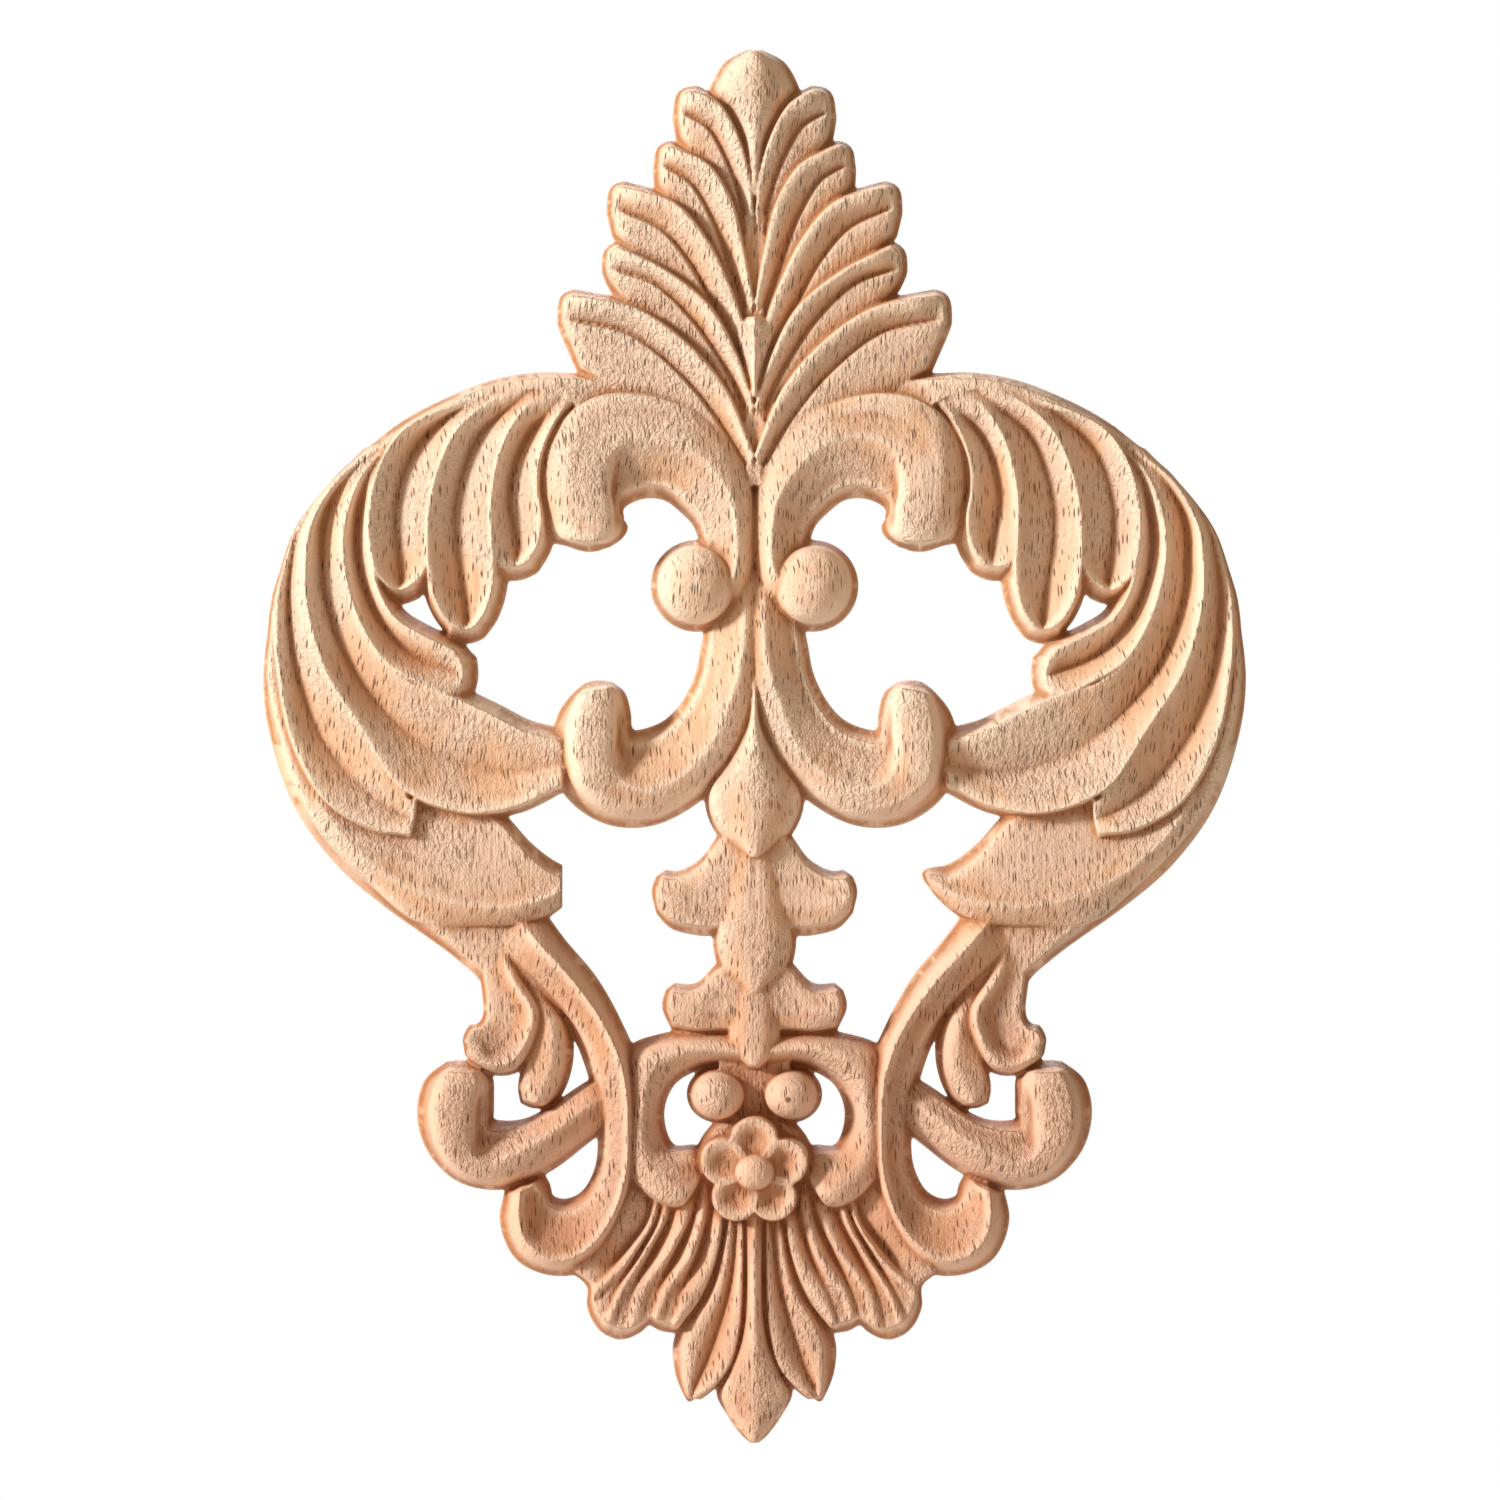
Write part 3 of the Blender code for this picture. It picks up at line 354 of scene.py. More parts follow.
def palmette_middle(form):
    valley = on_axis(((0.4, 140), (1.8, 118), (1.8, 100), (1.8, 80), (1.8, 66), (1.2, 56)))
    carve(form, valley, heights=(7.2, 6.8, 7.2), lift=(1, 1, 1, 1, 0.97, 0.9), walls=(0, 0), ends=(0, 0))
    bud = on_axis(((1.2, 92.7), (4.6, 90.2), (3.3, 84), (0.9, 75)))
    carve(form, bud, heights=(7.5, CREST, 7.5), walls=(0.8, 0.8), ends=(0.8, 0))
    top = on_axis(((1.5, 150), (6.4, 147.4), (9.1, 143.2), (9.9, 140.3), (8.4, 137), (5.2, 131),
                   (3, 124), (0.9, 118)))
    carve(form, top, heights=(RIM, BULB, RIM), lift=(0.6, 0.9, 1.0, 1.0, 0.96, 0.9, 0.8, 0.7),
          walls=(2.0, 2.0), ends=(1.5, 0), swell=(1.4, 1.4))


print("leaves a side of the palmette:", len(PALMETTE_LEAVES))

# %% [markdown]
# A C scroll is a band with a crest near its outer side that ends in a round head. The head stands higher
# than the band and drops to it in a steep flank, which catches the light. Both scrolls and the arm lower
# down are made alike.

# %% The C scrolls and the arm
UPPER_SCROLL = (((6, 27.2), (7.2, 28.4), (8.4, 29.6), (12, 32)),
                ((2.2, 32.2), (3.8, 33.4), (5.4, 34.6), (12, 37)),
                ((0.3, 40), (2, 40), (3.8, 40), (11.5, 41.5)),
                ((0.4, 52), (2.6, 52.3), (4.9, 52.5), (13, 47.2)),
                ((4.2, 63.4), (6.8, 62), (9.5, 59.8), (16, 50.4)),
                ((13, 71.8), (14.5, 69), (16, 65), (19.5, 52.9)),
                ((25, 75.4), (24.2, 71.5), (23.3, 66), (24, 53.2)),
                ((36, 73.8), (33.2, 69), (29.5, 64), (28.4, 50.9)),
                ((43.6, 66), (38, 61.5), (31.8, 58.5), (28.3, 48.8)),
                ((45.6, 56), (38.3, 52.5), (31.2, 50.5), (27.5, 46.8)),
                ((43.6, 47), (37, 46), (31.5, 46), (28.6, 45)),
                ((40.5, 43.2), (36.5, 42), (34, 42.1), (31.5, 43)))
LOWER_SCROLL = (((-2.6, 38), (-0.4, 38), (2.2, 38), (9, 34)),
                ((-2.6, 20), (0, 20), (2.6, 20), (11.4, 22)),
                ((-1.5, 7), (2, 8.2), (5.3, 9.5), (12.6, 15.8)),
                ((3, -3), (6.2, -1.3), (9.3, 0.5), (15.5, 9.8)),
                ((12, -12), (13.7, -9), (15.5, -6.2), (19, 5.9)),
                ((22, -17.1), (22, -13), (22, -9.2), (23, 4)),
                ((32, -16.8), (30.2, -12.3), (27.8, -7.8), (26, 3.6)),
                ((40.6, -11), (36, -7), (30.6, -3), (26.6, 4.4)),
                ((44.2, -2), (37.6, 0), (30.6, 2.5), (26.8, 7)),
                ((42.3, 7), (36.5, 8.3), (31.2, 9.8), (28.2, 11.5)),
                ((38, 12.3), (35.8, 13.8), (33.3, 14.1), (31, 13.7)))
ARM = (((30, -81), (30.6, -78.5), (31.4, -75), (32, -70)),
       ((36, -85.7), (36.8, -82), (37.4, -78.5), (37.5, -73.2)),
       ((43, -91), (43.6, -87), (44.2, -83.5), (44, -77.7)),
       ((50, -94.6), (50.4, -90.5), (50.8, -87), (49.4, -80.4)),
       ((57, -95.5), (56.8, -92.5), (57, -89.5), (53.8, -80.8)),
       ((64.5, -93.4), (62.8, -90.6), (60.4, -87.6), (56.3, -80.2)),
       ((70.6, -87), (66.3, -85), (61.2, -83.2), (56.3, -78.6)),
       ((72.7, -79), (67.3, -78.5), (60.9, -78), (56.3, -75.4)),
       ((71, -72), (66, -72.3), (60.4, -72.6), (56.6, -71.5)),
       ((66, -68), (64, -67.8), (61.6, -67.9), (59, -68.4)))
# Heights from the outer edge over the outer flank, the crest and the inner face to the inner edge
SCROLL_BAND = (RIM, 8.6, CREST, 7.3, RIM)
SCROLL_TURN = (RIM, 9.6, 10.6, 7.4, RIM)
SCROLL_HEAD = (6.4, 11.7, 10.9, 7.4, RIM)
SCROLL_CROWN = (6.4, 11.2, 10.7, 9.4, 7.4)
SCROLL_TIP = (6.2, 9.4, 9.4, 8.6, 7.0)
BAND_SWELL = (0.2, 0.1, 0.0, -0.3)
HEAD_SWELL = (1.4, 0.5, 0.35, -0.2)
HEAD_STATIONS = 4
# The upper scroll's outer edge rises to the top band of the outer leaf
UPPER_EDGE = (6.0, 6.0, 6.0, 6.0, 6.2, 7.2, 8.2, 8.4, 7.4, 6.6, 6.4, 6.2)


def scroll(form, stations, outer_wall, root=(1.0,), edge=None):
    bands = len(stations) - HEAD_STATIONS - 1
    heights = ((SCROLL_BAND,) * bands + (SCROLL_TURN,) + (SCROLL_HEAD,) * (HEAD_STATIONS - 2)
               + (SCROLL_CROWN, SCROLL_TIP))
    if edge:
        heights = tuple((level,) + section[1:] for level, section in zip(edge, heights))
    flank = (0.5,) * bands + (0.38,) * (HEAD_STATIONS + 1)
    with_flank = []
    for (outer, middle, crest, inner), share in zip(stations, flank):
        foot = Vector(crest).lerp(Vector(inner), share)
        with_flank.append((outer, middle, crest, foot, inner))
    carve(form, with_flank, heights, lift=root + (1.0,) * (len(stations) - len(root)),
          walls=(outer_wall, WALL), ends=(0, 2.2),
          swell=(BAND_SWELL,) * (bands + 1) + (HEAD_SWELL,) * HEAD_STATIONS)


def scrolls(form):
    scroll(form, UPPER_SCROLL, -STEP, root=(0.55, 0.95), edge=UPPER_EDGE)
    scroll(form, LOWER_SCROLL, WALL, root=(0.6,))
    dome(form, (12.5, 34.5), (9.9, 9.9), BALL)


def arm(form):
    scroll(form, ARM, WALL, root=(0.45, 0.72, 0.92))


print("stations of the scrolls and the arm:", len(UPPER_SCROLL), len(LOWER_SCROLL), len(ARM))

# %% [markdown]
# The great outer leaf is fluted: long hollows between sharp crests that start together under the top edge.
# Four flutes hang down and end in a round lip. Two more sweep round the side into a long leaf and a blunt
# end.

# %% The great outer leaf
FLUTE_A = (((37, 75.6), (39.4, 76.6), (42, 77.2)), ((41.2, 71.8), (43.8, 72), (48, 73.8)),
           ((43.4, 68.5), (47.4, 68.3), (52.2, 68.5)), ((45.9, 62), (51, 61.6), (55.2, 61)),
           ((46.5, 55), (52.6, 53), (56.6, 51.5)), ((45.6, 49), (51.8, 47.5), (56.5, 45)),
           ((46.4, 43.4), (51, 42), (56.2, 41.5)), ((48.4, 39.8), (51.2, 38.6), (54.6, 38.8)))
FLUTE_B = (((41, 77.6), (45.5, 77.6), (50, 77)), ((46.5, 75.2), (50.2, 74.3), (56.5, 74.4)),
           ((52.2, 68.5), (58.4, 67.6), (63.7, 68)), ((55.2, 61), (62, 60.5), (67.7, 60)),
           ((56.6, 51.5), (64.2, 51.5), (69.9, 50.5)), ((56.5, 45), (64.2, 44), (70.2, 44)),
           ((55.8, 39), (63.2, 37), (70, 38.5)), ((56.4, 33), (62.2, 31), (69, 32.6)),
           ((58, 28.4), (61.8, 26.8), (67, 28.2)), ((59.8, 25.8), (62, 25), (65, 25.7)))
FLUTE_C = (((50, 77), (55, 76.2), (60, 74.8)), ((56.5, 74.4), (61.5, 73.4), (67.4, 72.2)),
           ((63.7, 68), (70, 67.2), (75.6, 67.4)), ((67.7, 60), (74.6, 60.5), (80.4, 60)),
           ((69.9, 50.5), (77, 51.5), (82.5, 51.5)), ((70.2, 44), (77, 44.5), (82.6, 44.5)),
           ((70.3, 40), (76.2, 38.8), (81.9, 40)), ((71.2, 36.9), (75.9, 35.2), (80.8, 36.6)),
           ((73.6, 34.5), (76.4, 33.5), (79, 34.4)))
FLUTE_D = (((73.2, 69.2), (74.6, 68.3), (76, 67.2)), ((80.4, 60), (82.4, 59), (84.2, 58.3)),
           ((82.5, 51.5), (85, 50), (87.4, 49.5)), ((82.5, 43), (85.4, 42), (88.3, 42.5)),
           ((80.7, 34), (84, 34.5), (87, 34)), ((77, 27.5), (80.6, 27), (84, 25.5)),
           ((72, 24.2), (76, 21.6), (79, 18)), ((67.5, 22), (70.5, 18), (72, 13.6)),
           ((64.3, 20.3), (65.6, 16.4), (66.6, 11.2)), ((62.8, 18.6), (62.5, 15), (63.6, 11)))
LONG_LEAF = (((76, 67.2), (77.6, 66.2), (79.2, 65)), ((84.2, 58.3), (87, 58.2), (89.2, 57)),
             ((87.4, 49.5), (92, 49.5), (95, 47.5)), ((88, 40), (92.9, 40), (96.2, 39)),
             ((86.5, 31), (92.2, 32), (96, 31)), ((81, 19.5), (87.5, 18.5), (92, 16.5)),
             ((73.2, 13.2), (79, 7), (84, 3.5)), ((65.4, 10.8), (69.5, -0.8), (75.5, -9)),
             ((56, 6.5), (60, -4.5), (62, -14.2)), ((49.5, 3.2), (51.5, -5.5), (51, -12.9)),
             ((41.8, 1.2), (41, -3.6), (41.4, -8.3)))
BLUNT_FLUTE = (((78.8, 65.4), (81.3, 64.8), (84, 63.9)), ((89.2, 57), (91.6, 55.8), (93.7, 53.7)),
               ((95, 47.5), (97.6, 47), (99, 46.3)), ((96.2, 39), (99.6, 38.8), (102, 38.2)),
               ((96, 31), (100.2, 30.6), (104.3, 29.8)), ((92, 16.5), (98.4, 15.5), (104.7, 14.5)),
               ((84, 3.5), (93, 1.8), (101.6, -0.5)), ((77.6, -6), (85, -8.4), (94, -13.6)),
               ((74, -11.4), (78.4, -13.6), (82.6, -20.6)), ((72.6, -11.8), (73, -16), (74.6, -21.6)))
TOP_BAND = (((27, 79.2), (30, 72)), ((34, 80), (36, 71.8)), ((40, 80.4), (40.4, 74.6)),
            ((48, 80.4), (47.4, 76.6)), ((56, 79), (54.8, 75.2)), ((65, 75.7), (63.4, 72.4)),
            ((75, 70.6), (73, 67.6)), ((85, 63), (82.6, 60.4)))
OUTER_RIM = (((104.2, 29), (102.8, 29)), ((105.8, 14), (102, 14)), ((104.3, 1.5), (98, 3)),
             ((99, -13.5), (91.5, -9)), ((90, -25.8), (83.5, -19.5)), ((80, -34.5), (74.5, -27)),
             ((70, -41.7), (64, -33)), ((62, -47.5), (56, -38)))
# Heights of left crest, hollow and right crest: at the root, where the hollow starts, along it and at
# the lip
FLUTE_ROOT = (6.2, 6.8, 7.2)
FLUTE_START = (7.9, 7.1, 8.5)
FLUTE_RUN = (9.3, HOLLOW, 9.7)
FLUTE_TURN = (8.8, 5.3, 9.1)
FLUTE_LIP = (7.8, 6.9, 7.8)
BLUNT_HEIGHTS = ((6.8, 6.8, 6.2), (8.6, 7.2, 6.2), (9.3, 5.6, 6.2), (9.5, 5.0, 6.6), (9.6, HOLLOW, 7.4),
                 (9.6, HOLLOW, 8.2), (9.4, HOLLOW, 8.4), (9.2, 4.9, 8.6), (8.8, 6.2, 8.6), (8.8, 7.4, 8.6))
FLUTE_SWELL = (0.3, 0.3)


def flute_heights(flute):
    runs = len(flute) - 4
    return (FLUTE_ROOT, FLUTE_START) + (FLUTE_RUN,) * runs + (FLUTE_TURN, FLUTE_LIP)


def outer_leaf(form):
    hanging = (-2.8, -2.0)
    for flute, walls, end in ((FLUTE_A, hanging, -WALL), (FLUTE_B, hanging, -WALL),
                              (FLUTE_C, hanging, -WALL), (FLUTE_D, (-2.4, -2.4), -WALL),
                              (LONG_LEAF, (-2.6, -1.6), -1.0)):
        carve(form, flute, flute_heights(flute), walls=walls, ends=(0, end), swell=FLUTE_SWELL)
    carve(form, BLUNT_FLUTE, BLUNT_HEIGHTS, walls=(-STEP, WALL), ends=(0, -0.9), swell=FLUTE_SWELL)
    carve(form, TOP_BAND, heights=(6.8, 7.8), lift=(0.78, 0.9) + (1,) * 6, walls=(1.6, -0.8), ends=(1.6, 0))
    carve(form, OUTER_RIM, heights=(RIM, 6.2), lift=(0.8, 0.97) + (1,) * 4 + (0.88, 0.72), walls=(WALL, 0),
          ends=(0, 0))


BROAD_LEAF = (((93, 8), (99, 5), (102, 1.5)), ((84, -7), (91.5, -15), (96, -16)),
              ((72, -8), (79, -27.5), (83.6, -29.8)), ((62, -9), (68, -32.7), (72.4, -38.6)),
              ((54.5, -14), (57, -34.6), (60, -39.3)), ((48, -21), (50, -34), (51, -39)),
              ((42, -25.3), (44, -32.3), (44.4, -36.9)), ((38, -26.3), (39, -29.3), (39.6, -33)),
              ((36, -27), (36.1, -27.8), (36.5, -28.8)))
BROAD_HEIGHTS = ((4.0, 5.2, 4.0), (4.4, 7.4, 5.4), (5.2, 8.0, 5.6), (5.8, 8.3, 5.6),
                 (6.2, 8.5, 5.6), (6.4, 8.5, 5.6), (6.4, 8.1, 5.6), (6.2, 7.4, 5.7), (6.0, 6.4, 5.8))


def broad_leaf(form):
    carve(form, BROAD_LEAF, BROAD_HEIGHTS, walls=(2.6, 1.0), ends=(0, 1.6), swell=(-0.2, 0))


print("stations of the flutes:",
      [len(flute) for flute in (FLUTE_A, FLUTE_B, FLUTE_C, FLUTE_D, LONG_LEAF, BLUNT_FLUTE)])

# %% [markdown]
# Down the middle hang a smooth bud and two husks. A husk is a pair of short wings behind a round lobe, and
# each lobe lies over the next husk.

# %% The pendant
def pendant(form):
    bud = on_axis(((0.4, 17), (2.2, 6), (6.6, -3.2), (10.4, -9.3), (10.6, -13),
                   (9, -17.6), (5.4, -22), (1.2, -24.9)))
    carve(form, bud, heights=(7.0, BULB, 7.0), lift=(0.7, 0.9, 1.0, 1.04, 1.04, 1.02, 0.96, 0.88),
          walls=(1.2, 1.2), ends=(0, 1.2), swell=(1.15, 1.15))
    lobe = on_axis(((4, -14), (5, -24), (6.4, -31), (7.4, -38.5), (7.5, -43.5), (5.8, -48.8), (1.8, -52.6)))
    carve(form, lobe, heights=(7.4, 9.8, 7.4), lift=(0.86, 0.9, 0.95, 1, 1, 1, 0.96), walls=(-1.4, -1.4),
          ends=(0, -2.0), swell=(0.9, 0.9))
    small_lobe = on_axis(((4, -46), (4.4, -53), (5, -58.5), (5.2, -62.6), (4, -66), (1.4, -68.6)))
    carve(form, small_lobe, heights=(7.4, 9.4, 7.4), lift=(0.88, 0.94, 1, 1, 1, 0.96), walls=(-1.4, -1.4),
          ends=(0, -1.8), swell=(0.7, 0.7))


HUSK = (((-1, -16), (-1, -30), (-1, -46)), ((6.5, -18), (7, -30), (6.6, -41.2)),
        ((11.6, -24.3), (12.5, -32), (12, -40.9)), ((16.6, -26.9), (18, -32.5), (18, -39.3)),
        ((20.4, -26.4), (22.1, -31), (21.1, -36)))
HUSK_HEIGHTS = ((8.4, 8.4, 7.4), (7.4, 7.8, 6.8), (6.9, 7.9, 6.6), (7.2, 8.6, 6.8), (7.4, 8.4, 6.8))
SMALL_HUSK = (((-1, -44), (-1, -54), (-1, -64)), ((7, -46), (7.4, -54), (6.6, -62.6)),
              ((12.5, -51), (13, -56), (13, -62.8)), ((18.5, -50.9), (19.9, -56), (17.7, -61.3)))


def husks(form):
    carve(form, HUSK, HUSK_HEIGHTS, walls=(1.8, 2.2), ends=(0, 1.5), swell=(0.2, 0.6))
    carve(form, SMALL_HUSK, HUSK_HEIGHTS[:2] + HUSK_HEIGHTS[3:], walls=(1.8, 2.0), ends=(0, 1.5),
          swell=(0.2, 0.6))


# %% [markdown]
# The great lower scroll runs down from the broad leaf and turns up into a hook. Two leaves grow from its
# stem.

# %% The great lower scroll and its leaves
GREAT_SCROLL = (((46, -34), (51, -37), (60, -38)), ((41, -41.5), (46, -42.7), (56, -44)),
                ((34, -50), (39, -50.3), (48, -52)), ((28.5, -60), (32.3, -59.8), (40.7, -60)),
                ((25, -69), (28.3, -69.5), (36.6, -69)), ((24.2, -80), (27.2, -80), (34.3, -79.5)),
                ((25, -91), (27.7, -92), (34.3, -90)), ((28.3, -102.7), (31.2, -102), (37.3, -95.9)),
                ((35, -112.5), (37, -108.5), (41, -97.5)), ((43.7, -114), (43.2, -110), (43.7, -96.6)),
                ((51.3, -110.6), (48.6, -106.5), (43.9, -95.3)),
                ((54.8, -102.5), (50.5, -100.8), (44.2, -94)), ((53.4, -94.6), (49.9, -93.4), (45.4, -91.9)))
STEM = (((56, -30), (66, -32), (76, -37.4)), ((46, -40), (56, -42), (65, -45.4)),
        ((42, -50), (51, -49), (59.3, -50.7)), ((42, -57), (50, -55), (57.5, -56.3)),
        ((45, -62), (52, -60), (59.5, -60)))
# Lines of the curled leaf: outline, round rim, the hollow beside it and the open side
CURLED_LEAF = (((54, -41), (55, -41.3), (56.5, -42), (60, -44)),
               ((49.8, -49), (52, -49.8), (53.8, -50.5), (59, -52)),
               ((45.2, -57), (47.7, -57.2), (50.6, -57.3), (58.5, -56.9)),
               ((46.4, -64), (48.8, -62.8), (51.8, -61.3), (59, -59)),
               ((50.6, -70), (52.1, -67.5), (53.8, -64.6), (60, -59.9)),
               ((55.5, -71), (56.1, -68.3), (56.4, -65.8), (61.3, -60.1)),
               ((60.4, -68.7), (59.8, -66.6), (59.3, -64.8), (62.5, -61.8)),
               ((62.3, -66.3), (62.55, -65.4), (62.75, -64.4), (62.85, -63.2)))
CURLED_HEIGHTS = ((3.8, 4.0, 4.0, 3.8), (5.8, 6.8, 5.6, 5.0), (7.2, 8.6, 6.0, 5.6), (7.4, 8.9, 6.0, 6.0),
                  (7.4, 9.0, 6.2, 7.0), (7.4, 9.0, 6.6, 7.6), (7.4, 8.8, 8.2, 8.2), (7.2, 7.8, 7.8, 7.4))
SMALL_LEAF = (((46.5, -50.5), (48, -52), (50, -54)), ((40.2, -59), (44, -60), (48, -62)),
              ((39, -67.5), (43.8, -68), (50.2, -69)), ((41.8, -75.6), (46.3, -74.8), (51, -73.8)),
              ((45.6, -78), (48, -78), (50.4, -77)))


def great_scroll(form):
    carve(form, GREAT_SCROLL, heights=(RIM, CREST, 5.6),
          lift=(0.5, 0.94) + (1,) * 7 + (1.04, 1.06, 1.06, 0.95),
          walls=(WALL, 2.4), ends=(0, 2.0), swell=(0.2, -0.5))
    carve(form, STEM, heights=(4.0, 4.8, 4.6), walls=(0, 2.6), ends=(0, 0))


def side_leaves(form):
    carve(form, CURLED_LEAF, CURLED_HEIGHTS, walls=(1.8, 1.4), ends=(0, 1.6), swell=(0.1, 0, -0.2))
    carve(form, SMALL_LEAF, heights=(6.4, 7.6, 6), lift=(0.6, 1, 1, 1, 1), walls=(2.0, 1.2),
          ends=(0, 1.6), swell=(0.2, 0.2))


# %% [markdown]
# Under the husks an arch with two small balls frames a flower of five dished petals round a button.

# %% The arch and the flower
ARCH = (((-1, -61), (-1, -66), (-1, -71.2)), ((10, -60.5), (9.5, -65), (8, -69)),
        ((18, -61.5), (16, -65.8), (13.6, -70.6)), ((28, -65.4), (22, -69.2), (17.5, -73.5)),
        ((30, -77), (24, -78), (19.4, -79.5)), ((30, -90), (23.6, -88), (17.2, -85.9)),
        ((25.5, -96.5), (18.5, -93), (12.4, -86)), ((19.5, -100.4), (15, -95.6), (10.2, -88)),
        ((14.5, -100.2), (12.2, -95.6), (9.8, -90.6)))
FLOWER_CENTRE = (0.0, -91.2)
PETAL_DISTANCE = 6.7
PETAL_RADIUS = 5.9
SIDE_PETALS = (18, -54)      # turns from the right, in degrees; the mirror adds the other two
# Heights of outer edge, crest and inner edge; the hook stands high over the fan
ARCH_BAND = (RIM, 8.6, 5.6)
ARCH_HOOK = (8.4, 10.2, 6.2)


def arch(form):
    carve(form, ARCH, heights=(ARCH_BAND,) * 5 + ((7.0, 9.2, 5.8),) + (ARCH_HOOK,) * 2 + ((7.6, 8.8, 6.4),),
          walls=(2.6, 2.2), ends=(0, 2.0), swell=(0.6, 0.4))
    dome(form, (7.8, -75), (6.8, 6.2), BALL - 1.0, wall=1.2)


def petal(form, turn):
    aim = math.radians(turn)
    centre = (FLOWER_CENTRE[0] + PETAL_DISTANCE * math.cos(aim),
              FLOWER_CENTRE[1] + PETAL_DISTANCE * math.sin(aim))
    dome(form, centre, (PETAL_RADIUS, PETAL_RADIUS), BULB, rim=11.4, wall=1.0, dish=1.9)


def side_petals(form):
    for turn in SIDE_PETALS:
        petal(form, turn)


def flower_middle(form):
    petal(form, 90)
    dome(form, FLOWER_CENTRE, (4.7, 4.3), 14.0, rim=11.0, wall=0.5)
    dome(form, (FLOWER_CENTRE[0], -91.0), (13.2, 13.2), 6.0, rim=5.0, wall=1.5)
    neck = on_axis(((7, -64), (7.6, -69), (6, -75), (4, -84)))
    carve(form, neck, heights=(5.4, 5.4, 5.4), walls=(0, 0), ends=(0, 0))


# %% [markdown]
# The foot is a pointed stem with a leaf and a fan a side. The fan has five narrow grooves with a ridge
# beside each, and its rim is cut in soft lobes.

# %% The foot
FAN = (((5, -92), (7.5, -92), (9.5, -92), (11.5, -92), (13, -92), (16, -92), (17.5, -92), (19, -92),
        (20, -92), (21.5, -92), (27, -91)),
       ((5.6, -101), (9.3, -100), (10.8, -100), (13, -100.5), (14.3, -101), (18, -101), (19.2, -101.2),
        (20.8, -101.4), (21.6, -101.4), (23, -101.5), (30, -98)),
       ((7.2, -110.5), (12, -109.5), (13.4, -109), (16.7, -109), (18, -108.5), (21.8, -108.8),
        (23, -108), (24.8, -109), (25.7, -108.2), (27.6, -108), (35, -104.5)),
       ((11, -119.5), (16, -117.5), (17.6, -116.8), (20.6, -116.7), (22.1, -116), (26.2, -117.2),
        (27.4, -116.2), (29.3, -116), (30.4, -114.8), (32.3, -113.3), (38.5, -109.5)),
       ((16.5, -126.3), (18.6, -126.3), (20.5, -125.9), (22.8, -124.7), (24.8, -126.4), (28.5, -127.9),
        (31.2, -127.4), (34, -125.2), (35.9, -121), (35.9, -116.4), (40, -112.8)))
FAN_RIDGE = 8.6
FAN_GROOVE = 4.5
FAN_FACE = 7.2
FAN_ROOT = 4.6
FOOT_LEAF = (((2.4, -97), (3.6, -97.5), (6, -97)), ((2.6, -114), (5.1, -114.5), (10, -113.5)),
             ((3.2, -125), (7.8, -125), (15.2, -122)), ((5.6, -133.5), (10.3, -132), (17.6, -129)),
             ((10.2, -138.6), (12.8, -137.6), (17, -135)), ((13.6, -140.9), (13.9, -141.4), (14.4, -141.1)))
FOOT_LEAF_HEIGHTS = ((6.8, 4.8, 6.4),) + ((7.6, 5.0, 6.6),) * 3 + ((7.6, 5.8, 6.4), (6.4, 6.4, 6.2))


def fan_section(groove, ridge=FAN_RIDGE):
    return (FAN_FACE,) + (groove, ridge) * 4 + (groove, FAN_FACE)


FAN_HEIGHTS = ((FAN_ROOT,) * 11, fan_section(4.6, 7.2), fan_section(FAN_GROOVE),
               fan_section(6.8, 7.5), (FAN_FACE,) * 11)


def foot_stem(form):
    stem = on_axis(((2.6, -97), (2.8, -119), (4, -128), (6.1, -134), (8.2, -139.3), (6, -144),
                    (3, -148.2), (0.9, -150)))
    carve(form, stem, heights=(7.6, 9.4, 7.6), lift=(1, 1, 1, 1, 1, 0.95, 0.9, 0.8),
          walls=(1.4, 1.4), ends=(0, 2.0), swell=(0.3, 0.3))
    ground = on_axis(((9, -97), (9, -110), (12, -122), (9, -132), (4, -140)))
    carve(form, ground, heights=(4.6, 4.6, 4.6), walls=(0, 0), ends=(0, 0))


def foot_leaves(form):
    carve(form, FOOT_LEAF, FOOT_LEAF_HEIGHTS, walls=(-1.0, WALL), ends=(0, 1.8), swell=(0.9, 0.9))
    carve(form, FAN, FAN_HEIGHTS, walls=(1.2, 1.5), ends=(0, WALL), swell=(1.1, 0.2) * 5)


# %% [markdown]
# The left half is the right half mirrored, with one difference: on the real piece the tip of the left
# broad leaf is cut off blunt. That leaf alone is therefore bisected by a plane and its open end filled.

# %% Both halves in one bmesh
SIDE_FORMS = (palmette, scrolls, outer_leaf, husks, great_scroll, side_leaves, arm, arch,
              side_petals, foot_leaves)
MIDDLE_FORMS = (palmette_middle, pendant, flower_middle, foot_stem)


def blunt_left_leaf(form):
    leaf = bmesh.new()
    broad_leaf(leaf)
    bmesh.ops.scale(leaf, verts=leaf.verts, vec=(-1.0, 1.0, 1.0))
    cut = bmesh.ops.bisect_plane(leaf, geom=leaf.verts[:] + leaf.edges[:] + leaf.faces[:],
                                 plane_co=(BLUNT_TIP_X * MM, 0, 0), plane_no=(1, 0, 0), clear_outer=True)
    bmesh.ops.edgeloop_fill(leaf, edges=[edge for edge in leaf.edges if edge.is_boundary])
    data = bpy.data.meshes.new("left leaf")
    leaf.to_mesh(data)
    leaf.free()
    form.from_mesh(data)
    bpy.data.meshes.remove(data)
    print("edges along the blunt cut:", len(cut["geom_cut"]))


